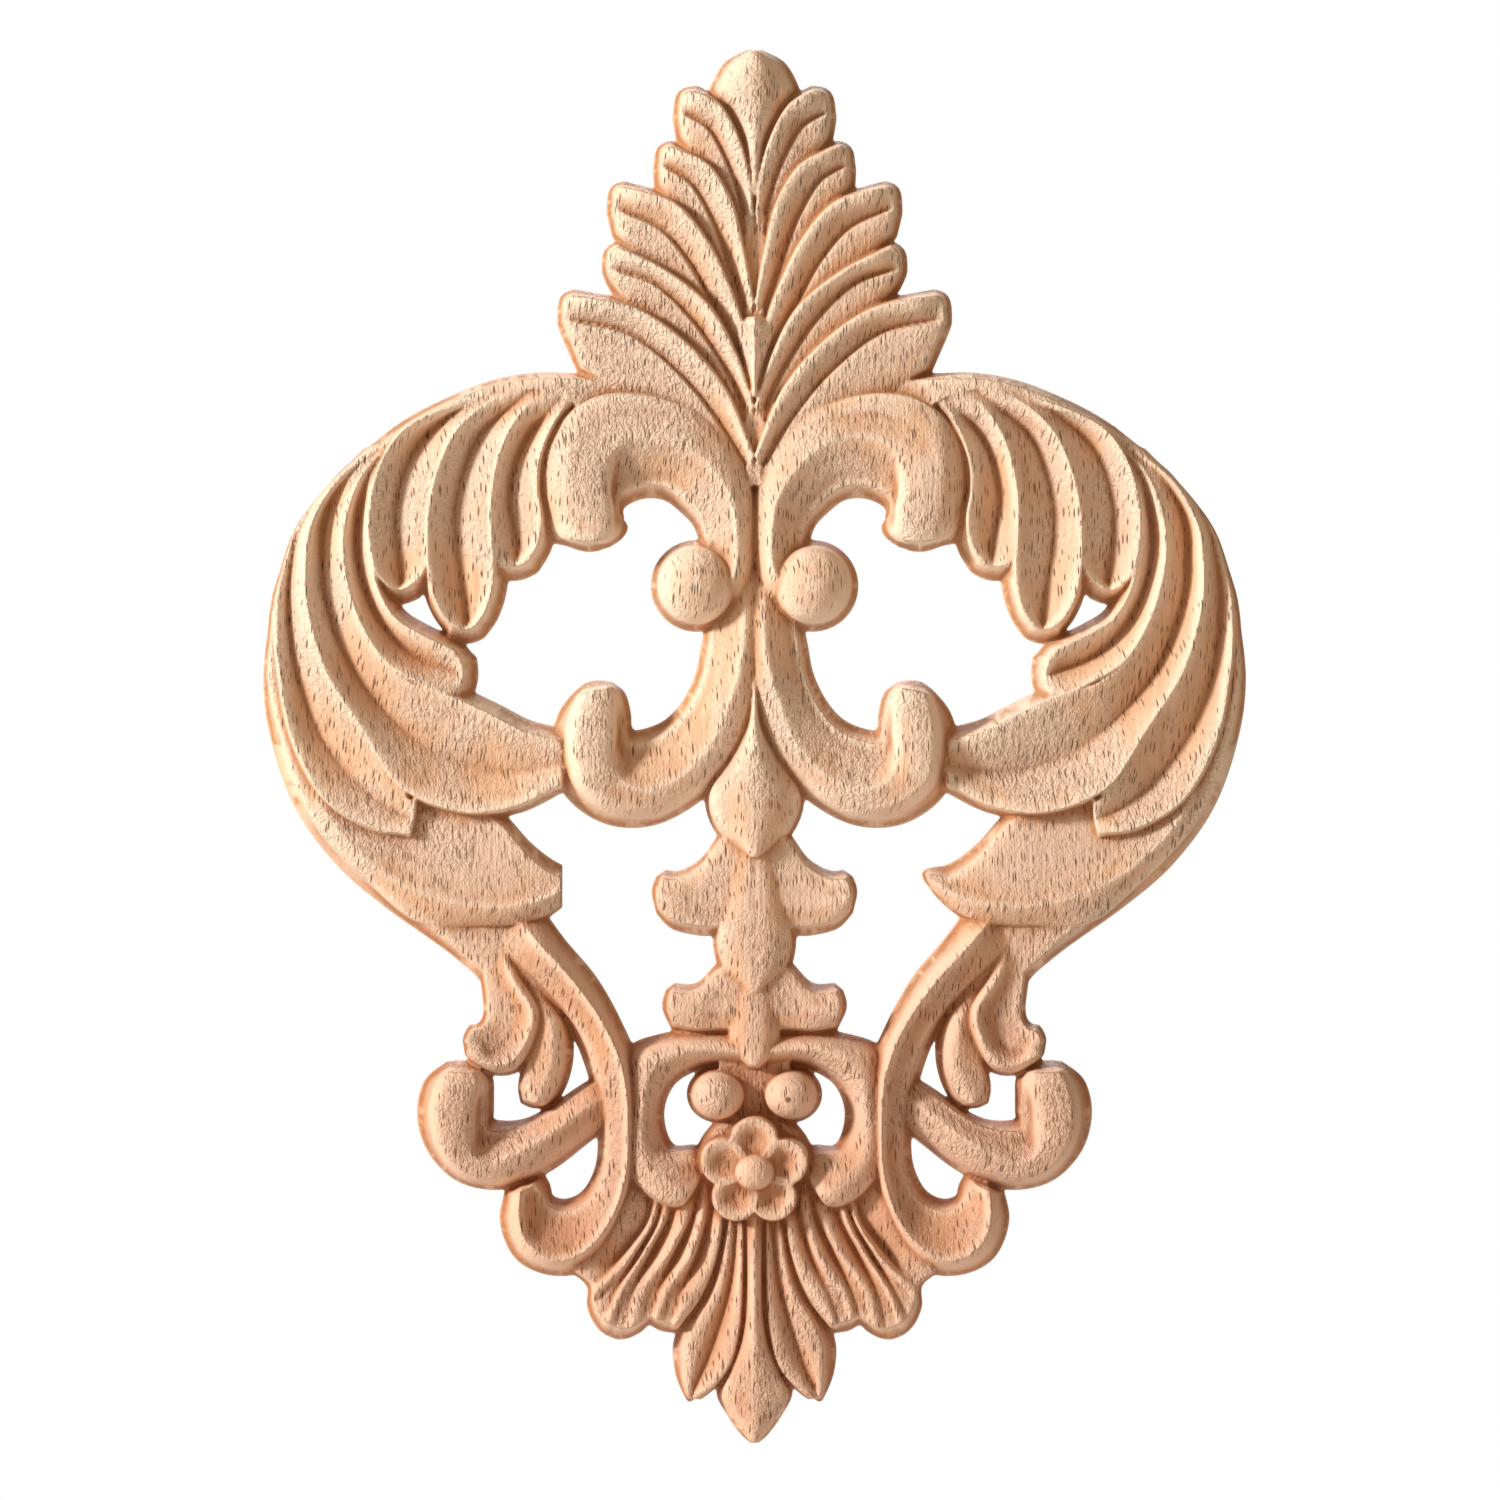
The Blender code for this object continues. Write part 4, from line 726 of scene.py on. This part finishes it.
board = bmesh.new()
for side_form in SIDE_FORMS:
    side_form(board)
bmesh.ops.mirror(board, geom=board.verts[:] + board.edges[:] + board.faces[:], matrix=Matrix.Identity(4),
                 merge_dist=0.0, axis="X")
broad_leaf(board)
blunt_left_leaf(board)
for middle_form in MIDDLE_FORMS:
    middle_form(board)
bmesh.ops.triangulate(board, faces=board.faces)
bmesh.ops.recalc_face_normals(board, faces=board.faces)
print("faces of all forms before they are merged:", len(board.faces))

# %% [markdown]
# The forms still pass through each other. A Boolean union of this many bodies is slow and leaves slivers.
# A voxel remesh melts them into one skin and rounds every valley by about a cell, as a gouge does. A
# Decimate then takes away what the flat parts don't need.

# %% One skin
FACES_WANTED = 190000


def settled(piece, name):
    """A plain mesh object with the piece's modifiers applied."""
    depsgraph = bpy.context.evaluated_depsgraph_get()
    data = bpy.data.meshes.new_from_object(piece.evaluated_get(depsgraph), depsgraph=depsgraph)
    data.name = name
    made = bpy.data.objects.new(name, data)
    bpy.context.scene.collection.objects.link(made)
    old = piece.data
    bpy.data.objects.remove(piece)
    bpy.data.meshes.remove(old)
    return made


def object_from(form, name):
    data = bpy.data.meshes.new(name)
    form.to_mesh(data)
    form.free()
    made = bpy.data.objects.new(name, data)
    bpy.context.scene.collection.objects.link(made)
    return made


rough = object_from(board, "forms")
melt = rough.modifiers.new("one skin", "REMESH")
melt.mode = "VOXEL"
melt.voxel_size = GRAIN * MM
panel = settled(rough, "skin")
print("faces of the merged skin:", len(panel.data.polygons))

# %% [markdown]
# The back of such a piece is sawn flat. One plane cuts off all that runs past it, and the open outline is
# filled. The back is shaded flat, or the smooth shading of the walls would run across its long triangles.

# %% Flat back
BACK_SLACK = 0.00003      # m

skin = bmesh.new()
skin.from_mesh(panel.data)
bmesh.ops.bisect_plane(skin, geom=skin.verts[:] + skin.edges[:] + skin.faces[:], plane_co=(0, 0, 0),
                       plane_no=(0, 1, 0), clear_outer=True)
open_edges = [edge for edge in skin.edges if edge.is_boundary]
bmesh.ops.triangle_fill(skin, edges=open_edges, use_beauty=False, normal=(0, 1, 0))
bmesh.ops.triangulate(skin, faces=skin.faces)
bmesh.ops.recalc_face_normals(skin, faces=skin.faces)
skin.to_mesh(panel.data)
print("open edges left:", sum(edge.is_boundary for edge in skin.edges), "triangles:", len(skin.faces))
thinner = panel.modifiers.new("fewer faces", "DECIMATE")
thinner.ratio = min(1.0, FACES_WANTED / len(skin.faces))
skin.free()
applique = settled(panel, "carved_panel")
print("triangles of the carved panel:", len(applique.data.polygons))


def shade_by_side(mesh):
    """Shade the carving smooth and the sawn back flat, with a sharp edge between them."""
    mesh.shade_smooth()
    skin = bmesh.new()
    skin.from_mesh(mesh)
    for face in skin.faces:
        face.smooth = max(abs(vert.co.y) for vert in face.verts) > BACK_SLACK
    for edge in skin.edges:
        edge.smooth = len({face.smooth for face in edge.link_faces}) == 1
    print("flat triangles on the back:", sum(not face.smooth for face in skin.faces))
    skin.to_mesh(mesh)
    skin.free()


shade_by_side(applique.data)

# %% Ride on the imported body
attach(applique, "root")
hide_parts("applique")

# %% [markdown]
# Bare carved wood shows its grain as short dark pores that run up the board, a soft lengthwise streak, and
# darker, redder grooves, partly from dust and fuzz that stay there and partly painted shade. The crests get
# a painted highlight. The pores are computed in the board's own space, so they run through every form in
# one direction, as they do when a panel is cut from one plank.

# %% How deep each point lies
MAP_CELL = 0.5    # mm
MAP_EDGE = 6.0                           # mm of empty map around the board
RAY_START = 0.05                         # m in front of the back
# Name, reach of the blur and depth of full strength in mm; 1 for below the surroundings, -1 for above
DEPTHS = (("groove", 0.9, 0.55, 1.0), ("hollow", 3.5, 2.4, 1.0), ("crest", 1.3, 0.55, -1.0))
# Name, and the part of the normal that looks to the front where the value starts and where it is full
FACINGS = (("facing", 0.45, 0.75), ("flat", 0.972, 0.992))
LOOKS_BACK = 0.3


def height_map(piece):
    """Heights in mm on a square grid, 1 or 0 for wood or air, and the grid's corner in mm."""
    tree = BVHTree.FromObject(piece, bpy.context.evaluated_depsgraph_get())
    half_width = 0.5 * piece.dimensions.x / MM + MAP_EDGE
    half_height = 0.5 * piece.dimensions.z / MM + MAP_EDGE
    across = np.arange(-half_width, half_width, MAP_CELL)
    upwards = np.arange(-half_height, half_height, MAP_CELL)
    heights = np.zeros((len(upwards), len(across)))
    wood = np.zeros_like(heights)
    towards_back = Vector((0.0, 1.0, 0.0))
    for row, z in enumerate(upwards):
        for column, x in enumerate(across):
            spot = tree.ray_cast(Vector((x * MM, -RAY_START, z * MM)), towards_back)[0]
            if spot is not None:
                heights[row, column] = -spot.y / MM
                wood[row, column] = 1.0
    return heights, wood, (across[0], upwards[0])


def blurred(values, reach):
    """Gaussian blur of a map; reach in mm."""
    up = np.fft.fftfreq(values.shape[0])[:, None]
    across = np.fft.rfftfreq(values.shape[1])[None, :]
    kept = np.exp(-2.0 * (math.pi * reach / MAP_CELL) ** 2 * (up ** 2 + across ** 2))
    return np.fft.irfft2(np.fft.rfft2(values) * kept, values.shape)


def read_map(values, column_place, row_place):
    column = np.clip(column_place.astype(int), 0, values.shape[1] - 2)
    row = np.clip(row_place.astype(int), 0, values.shape[0] - 2)
    across = column_place - column
    up = row_place - row
    lower = values[row, column] * (1.0 - across) + values[row, column + 1] * across
    upper = values[row + 1, column] * (1.0 - across) + values[row + 1, column + 1] * across
    return lower * (1.0 - up) + upper * up


def store(mesh, name, value):
    layer = mesh.attributes.new(name, "FLOAT", "POINT")
    layer.data.foreach_set("value", value.astype(np.float32))
    print(name, "on average:", value.mean().round(3))


def add_depth_attributes(piece):
    """Store how far each point lies below the carving around it (groove, hollow) or above it (crest), and
    how much it faces the front (facing, flat)."""
    heights, wood, corner = height_map(piece)
    mesh = piece.data
    places = np.empty(len(mesh.vertices) * 3)
    mesh.vertices.foreach_get("co", places)
    places = places.reshape(-1, 3) / MM
    normals = np.empty(len(mesh.vertices) * 3)
    mesh.vertices.foreach_get("normal", normals)
    in_front = normals[1::3] < LOOKS_BACK
    column = (places[:, 0] - corner[0]) / MAP_CELL
    row = (places[:, 2] - corner[1]) / MAP_CELL
    for name, reach, depth, sign in DEPTHS:
        share = blurred(wood, reach)
        around = blurred(heights * wood, reach) / np.maximum(share, 0.05)
        below = read_map(around, column, row) + places[:, 1]
        value = np.clip(sign * below / depth, 0.0, 1.0) * in_front
        if name != "groove":
            value *= np.clip(read_map(share, column, row) * 2.0 - 0.9, 0.0, 1.0)
        store(mesh, name, value)
    for name, low, high in FACINGS:
        store(mesh, name, np.clip((-normals[1::3] - low) / (high - low), 0.0, 1.0))


add_depth_attributes(applique)

# %% [markdown]
# A material made in code is a long list of nodes and links. A few small helpers keep it readable: feed
# links a socket or sets its value, and node makes a node with its settings and its inputs in one call.

# %% Small helpers for node trees
def group_with(name, inputs, outputs):
    """New shader node group with named sockets and its two end nodes."""
    group = bpy.data.node_groups.new(name, "ShaderNodeTree")
    for label, kind, value in inputs:
        socket = group.interface.new_socket(label, in_out="INPUT", socket_type=kind)
        if value is not None:
            socket.default_value = value
    for label, kind in outputs:
        group.interface.new_socket(label, in_out="OUTPUT", socket_type=kind)
    return group, group.nodes.new("NodeGroupInput"), group.nodes.new("NodeGroupOutput")


def feed(tree, socket, value):
    if isinstance(value, bpy.types.NodeSocket):
        tree.links.new(value, socket)
    else:
        socket.default_value = value


def node(tree, kind, inputs=None, **settings):
    made = tree.nodes.new(kind)
    for label, value in settings.items():
        setattr(made, label, value)
    for label, value in (inputs or {}).items():
        feed(tree, made.inputs[label], value)
    return made


def math_node(tree, operation, *values, clamp=False):
    made = node(tree, "ShaderNodeMath", dict(enumerate(values)), operation=operation, use_clamp=clamp)
    return made.outputs[0]


def times(tree, first, second):
    return math_node(tree, "MULTIPLY", first, second)


def plus(tree, first, second):
    return math_node(tree, "ADD", first, second)


def minus(tree, first, second):
    return math_node(tree, "SUBTRACT", first, second)


def larger(tree, first, second):
    return math_node(tree, "MAXIMUM", first, second)


def parts_of(tree, vector):
    return node(tree, "ShaderNodeSeparateXYZ", {0: vector}).outputs


def band(tree, value, low, high):
    """0 below low, 1 above high, smooth between."""
    made = node(tree, "ShaderNodeMapRange", {"Value": value, "From Min": low, "From Max": high},
                interpolation_type="SMOOTHSTEP")
    return made.outputs["Result"]


def stretched(tree, vector, scale, offset=(0.0, 0.0, 0.0)):
    made = node(tree, "ShaderNodeMapping", {"Vector": vector, "Scale": scale, "Location": offset})
    return made.outputs["Vector"]


def noise_value(tree, vector, scale=1.0, detail=2.0, roughness=0.5, distortion=0.0):
    made = node(tree, "ShaderNodeTexNoise", {"Vector": vector, "Scale": scale, "Detail": detail,
                                             "Roughness": roughness, "Distortion": distortion})
    return made.outputs["Fac"]


# %% [markdown]
# A pore is a cut vessel: a dash about 0.3 mm wide and up to a few millimetres long. A noise texture would
# give blots. Voronoi cells stretched along the grain put one dash in each cell, and a random value per
# cell leaves some empty. The cells are two-dimensional and seen from the front, with a shear in depth, so
# a dash never runs far down a wall.

# %% Group: pores
DEPTH_SHEAR = 0.35
CELLS_PER_METRE = 1000.0   # at a cell size of 1 mm
SHORTEST_PORE = 0.45       # share of the full width, for the cell with the smallest random value


def pores_group():
    group, start, end = group_with(
        "wood pores",
        (("Vector", "NodeSocketVector", None), ("Cell Width", "NodeSocketFloat", 1.0),
         ("Cell Length", "NodeSocketFloat", 4.5), ("Pore Width", "NodeSocketFloat", 0.2),
         ("Share Filled", "NodeSocketFloat", 0.55)),
        (("Mask", "NodeSocketFloat"),))
    given = start.outputs
    place = parts_of(group, given["Vector"])
    sheared = plus(group, place["X"], times(group, place["Y"], DEPTH_SHEAR))
    per_width = math_node(group, "DIVIDE", CELLS_PER_METRE, given["Cell Width"])
    per_length = math_node(group, "DIVIDE", CELLS_PER_METRE, given["Cell Length"])
    spread = node(group, "ShaderNodeCombineXYZ", {"X": times(group, sheared, per_width),
                                                  "Y": times(group, place["Z"], per_length)})
    cells = node(group, "ShaderNodeTexVoronoi",
                 {"Vector": spread.outputs[0], "Scale": 1.0, "Randomness": 1.0},
                 feature="F1", voronoi_dimensions="2D")
    chance = node(group, "ShaderNodeSeparateColor", {0: cells.outputs["Color"]})
    reach = times(group, given["Pore Width"], plus(group, SHORTEST_PORE, chance.outputs["Green"]))
    inside = math_node(group, "DIVIDE", minus(group, reach, cells.outputs["Distance"]),
                       times(group, reach, 0.5), clamp=True)
    filled = math_node(group, "LESS_THAN", chance.outputs["Red"], given["Share Filled"])
    feed(group, end.inputs["Mask"], times(group, inside, filled))
    return group


PORES = pores_group()
print("group:", PORES.name)

# %% [markdown]
# The cutter leaves a nap on bare wood: fine fuzz, short fibres along the grain and, where it worked across
# the grain, ripples like a fingerprint. The ripples are the sine of a slow noise, so they follow its
# contours.

# %% Group: nap of the cutter
# How closely each pattern repeats across the board, into it and along the grain
FUZZ_SCALE = (1050.0, 450.0, 700.0)
FIBRE_SCALE = (1500.0, 450.0, 110.0)
TORN_SCALE = (55.0, 55.0, 40.0)
# Heights in mm
FUZZ_HEIGHT = 0.85
FIBRE_HEIGHT = 0.22
RIPPLE_HEIGHT = 0.05
RIPPLE_TURN = 58.0    # radians of the sine from the lowest to the highest noise


def nap_group():
    group, start, end = group_with("nap of the cutter", (("Vector", "NodeSocketVector", None),),
                                   (("Height", "NodeSocketFloat"), ("Torn", "NodeSocketFloat")))
    place = start.outputs["Vector"]
    fuzz = noise_value(group, stretched(group, place, FUZZ_SCALE), detail=2.5, roughness=0.65,
                       distortion=0.8)
    fibre = noise_value(group, stretched(group, place, FIBRE_SCALE), detail=1.5)
    slow = noise_value(group, place, scale=190.0, detail=1.5)
    ripple = math_node(group, "SINE", times(group, slow, RIPPLE_TURN))
    torn = band(group, noise_value(group, stretched(group, place, TORN_SCALE)), 0.42, 0.62)
    strong = plus(group, 0.45, times(group, torn, 0.75))
    height = times(group, times(group, fuzz, FUZZ_HEIGHT), strong)
    height = plus(group, height, times(group, fibre, FIBRE_HEIGHT))
    height = plus(group, height, times(group, times(group, ripple, RIPPLE_HEIGHT), torn))
    feed(group, end.inputs["Height"], height)
    feed(group, end.inputs["Torn"], torn)
    return group


NAP = nap_group()
print("group:", NAP.name)

# %% [markdown]
# One Principled shader is enough for bare wood. Its colour starts from a tan that is streaked along the
# grain, gets a painted highlight on the crests, turns red-brown in the grooves (partly dust and fuzz, partly
# painted shade), takes painted shade towards the foot, and is dotted with pores.

# %% Material: bare carved hardwood
PALE = (0.79, 0.52, 0.335, 1.0)
TAN = (0.66, 0.39, 0.235, 1.0)
DARK_STREAK = (0.50, 0.26, 0.14, 1.0)
# painted highlight: the crests are tinted pale where the light catches them
CREST_HIGHLIGHT = (0.93, 0.76, 0.60, 1.0)
# pale tint on the torn nap and on faces that look straight to the front
TORN_AND_FLAT_TINT = (0.80, 0.645, 0.525, 1.0)
# painted shade: the colour gets darker and redder towards the foot, where less of the upper light falls
FOOT_SHADE = (0.84, 0.71, 0.66, 1.0)     # multiplies the colour towards the foot of the board
FOOT_TOP = 0.01         # m, where it sets in
FOOT_BOTTOM = -0.085    # m, below which it is full
# red-brown of the grooves: partly dust and fuzz that stay there, partly painted shade; the broad hollows get
# a little of it as painted shade only
GROOVE_DUST_AND_SHADE = (0.42, 0.17, 0.055, 1.0)
PORE = (0.13, 0.045, 0.018, 1.0)
# Share of each tint where its cause is strongest
FINE_SHARE = 0.4
PALE_SHARE = 0.62
CREST_SHARE = 0.75
HOLLOW_SHARE = 0.22
GROOVE_SHARE = 0.8
PORE_SHARE = 0.85
STREAK_SCALE = (420.0, 420.0, 22.0)
FINE_SCALE = (1300.0, 500.0, 60.0)
KNOT_PLACE = (0.0072, -0.0121, -0.0757)
KNOT_RADIUS = 0.0009
GRAIN_SWAY = 0.0012     # m
# Cell width and length in mm, width of a pore as a share of its cell, and share of the cells that have one
SHORT_PORES = (0.7, 5.6, 0.18, 0.62)
MIDDLE_PORES = (1.2, 11.0, 0.11, 0.5)
LONG_PORES = (2.2, 28.0, 0.06, 0.45)
BACK_EDGE = (0.0001, 0.0009)     # m from the back, where what is stored on the points fades in


def mixed(tree, factor, first, second, blend="MIX"):
    made = node(tree, "ShaderNodeMix", data_type="RGBA", blend_type=blend)
    colour_sockets = [socket for socket in made.inputs if socket.type == "RGBA"]
    for socket, value in zip([made.inputs[0]] + colour_sockets, (factor, first, second)):
        feed(tree, socket, value)
    return [socket for socket in made.outputs if socket.type == "RGBA"][0]


def attribute(tree, name):
    """A value stored on the points, but none on the flat back, which has points only along its edge."""
    place = parts_of(tree, node(tree, "ShaderNodeTexCoord").outputs["Object"])
    in_front = band(tree, times(tree, place["Y"], -1.0), *BACK_EDGE)
    return times(tree, node(tree, "ShaderNodeAttribute", attribute_name=name).outputs["Fac"], in_front)


def pores(tree, vector, sizes):
    labels = ("Cell Width", "Cell Length", "Pore Width", "Share Filled")
    made = node(tree, "ShaderNodeGroup", {"Vector": vector, **dict(zip(labels, sizes))}, node_tree=PORES)
    return made.outputs["Mask"]


def all_pores(tree, place):
    """Pores of three sizes along a grain that sways a little."""
    bend = noise_value(tree, place, scale=60.0, detail=1.0)
    sway = node(tree, "ShaderNodeCombineXYZ", {"X": times(tree, minus(tree, bend, 0.5), GRAIN_SWAY)})
    leaning = node(tree, "ShaderNodeVectorMath", {0: place, 1: sway.outputs[0]}, operation="ADD")
    grain = leaning.outputs[0]
    short = pores(tree, grain, SHORT_PORES)
    middle = pores(tree, stretched(tree, grain, (1, 1, 1), (0.013, 0.007, 0.021)), MIDDLE_PORES)
    long = pores(tree, stretched(tree, grain, (1, 1, 1), (0.031, 0.003, 0.011)), LONG_PORES)
    return larger(tree, larger(tree, short, middle), long)


def knot(tree, place):
    """Dark pin knot on one small ball."""
    gap = node(tree, "ShaderNodeVectorMath", {0: place, 1: KNOT_PLACE}, operation="DISTANCE")
    return minus(tree, 1.0, band(tree, gap.outputs["Value"], 0.5 * KNOT_RADIUS, KNOT_RADIUS))


def wood_colour(tree, place, torn, dark_marks):
    streak = noise_value(tree, stretched(tree, place, STREAK_SCALE), detail=3.0, roughness=0.6)
    cloud = noise_value(tree, place, scale=35.0)
    tone = plus(tree, times(tree, band(tree, streak, 0.3, 0.7), 0.55),
                times(tree, band(tree, cloud, 0.3, 0.7), 0.4))
    colour = mixed(tree, tone, PALE, TAN)
    fine = noise_value(tree, stretched(tree, place, FINE_SCALE), detail=1.0)
    colour = mixed(tree, times(tree, band(tree, fine, 0.52, 0.75), FINE_SHARE), colour, DARK_STREAK)
    # Paler where the nap is torn and on faces that look straight to the front
    pale = larger(tree, torn, attribute(tree, "flat"))
    colour = mixed(tree, times(tree, pale, PALE_SHARE), colour, TORN_AND_FLAT_TINT)
    # Painted highlight on the crests
    colour = mixed(tree, times(tree, attribute(tree, "crest"), CREST_SHARE), colour, CREST_HIGHLIGHT)
    # Darker and redder in the grooves, partly dust and fuzz and partly painted shade, and a little in the
    # broad hollows as painted shade
    groove = larger(tree, times(tree, attribute(tree, "hollow"), HOLLOW_SHARE),
                    times(tree, attribute(tree, "groove"), GROOVE_SHARE))
    colour = mixed(tree, groove, colour, GROOVE_DUST_AND_SHADE)
    # Painted shade towards the foot of the board
    low = minus(tree, 1.0, band(tree, parts_of(tree, place)["Z"], FOOT_BOTTOM, FOOT_TOP))
    colour = mixed(tree, low, colour, FOOT_SHADE, blend="MULTIPLY")
    return mixed(tree, times(tree, dark_marks, PORE_SHARE), colour, PORE)


def carved_wood():
    material = bpy.data.materials.new("bare carved hardwood")
    material.use_nodes = True
    tree = material.node_tree
    place = node(tree, "ShaderNodeTexCoord").outputs["Object"]
    nap = node(tree, "ShaderNodeGroup", node_tree=NAP)
    feed(tree, nap.inputs["Vector"], place)
    marks = times(tree, all_pores(tree, place), attribute(tree, "facing"))
    marks = larger(tree, marks, knot(tree, place))
    # The nap is calmer on the walls, where the cutter runs along them
    calm = plus(tree, 0.25, times(tree, attribute(tree, "facing"), 0.75))
    relief = minus(tree, times(tree, nap.outputs["Height"], calm), times(tree, marks, 0.15))
    bump = node(tree, "ShaderNodeBump", {"Strength": 1.0, "Distance": MM, "Height": relief})
    looks = {"Base Color": wood_colour(tree, place, nap.outputs["Torn"], marks), "Roughness": 0.62,
             "Specular IOR Level": 0.3, "Normal": bump.outputs["Normal"]}
    for label, value in looks.items():
        feed(tree, tree.nodes["Principled BSDF"].inputs[label], value)
    return material


applique.data.materials.append(carved_wood())
print("materials on the panel:", [slot.name for slot in applique.material_slots])

# %% [markdown]
# The light is a softbox high on the left, so flanks that face up and left are pale and the others fall
# into warm brown. The camera looks straight at the carving with a long lens, as a catalogue picture does.

# %% Floor
FLOOR_DROP = 0.11      # m below the lowest point of the panel
FLOOR_REACH = 0.6      # half its width
floor_mesh = bmesh.new()
bmesh.ops.create_grid(floor_mesh, x_segments=1, y_segments=1, size=FLOOR_REACH)
bmesh.ops.translate(floor_mesh, verts=floor_mesh.verts, vec=(0.0, 0.0, cad_box[0][2] - FLOOR_DROP))
floor = object_from(floor_mesh, "floor")
pale_floor = bpy.data.materials.new("pale floor")
pale_floor.use_nodes = True
floor_look = pale_floor.node_tree.nodes["Principled BSDF"].inputs
floor_look["Base Color"].default_value = (0.85, 0.85, 0.84, 1.0)
floor_look["Roughness"].default_value = 0.8
floor.data.materials.append(pale_floor)


# %% Lights
def area_light(name, place, size, power, colour=(1.0, 1.0, 1.0)):
    data = bpy.data.lights.new(name, "AREA")
    data.shape = "DISK"
    data.size = size
    data.energy = power
    data.color = colour
    light = bpy.data.objects.new(name, data)
    light.location = place
    light.rotation_euler = (-Vector(place)).to_track_quat("-Z", "Y").to_euler()
    bpy.context.scene.collection.objects.link(light)


area_light("softbox", (-2.0, -1.05, 0.75), 0.4, 70.0, (1.0, 0.97, 0.94))
area_light("upper fill", (0.0, -0.55, 0.6), 0.3, 0.25, (1.0, 0.96, 0.92))
area_light("back fill", (0.0, 1.7, 0.6), 0.8, 18.0)

# The camera sees a white backdrop, while the wood gets a dim warm light from all sides
world = bpy.data.worlds.new("studio")
bpy.context.scene.world = world
world.use_nodes = True
tree = world.node_tree
backdrop = tree.nodes["Background"]
backdrop.inputs["Color"].default_value = (1.0, 1.0, 1.0, 1.0)
backdrop.inputs["Strength"].default_value = 1.0
ambient = node(tree, "ShaderNodeBackground", {"Color": (1.0, 0.75, 0.52, 1.0), "Strength": 0.38})
camera_rays = node(tree, "ShaderNodeLightPath").outputs["Is Camera Ray"]
either = node(tree, "ShaderNodeMixShader",
              {"Fac": camera_rays, 1: ambient.outputs[0], 2: backdrop.outputs[0]})
feed(tree, tree.nodes["World Output"].inputs["Surface"], either.outputs[0])
bpy.context.scene.view_settings.view_transform = "Standard"

# %% Camera
FRAME_WIDTH = 0.32328      # m that the picture shows across, at the panel
CAMERA_DISTANCE = 1.5
PICTURE_CENTRE = (-0.00097, -0.00086)
camera_data = bpy.data.cameras.new("camera")
camera_data.sensor_width = 36.0
camera_data.lens = camera_data.sensor_width * CAMERA_DISTANCE / FRAME_WIDTH
camera = bpy.data.objects.new("camera", camera_data)
camera.location = (PICTURE_CENTRE[0], -CAMERA_DISTANCE, PICTURE_CENTRE[1])
camera.rotation_euler = (math.radians(90.0), 0.0, 0.0)
bpy.context.scene.collection.objects.link(camera)
bpy.context.scene.camera = camera
print("lens in mm:", round(camera_data.lens, 1))
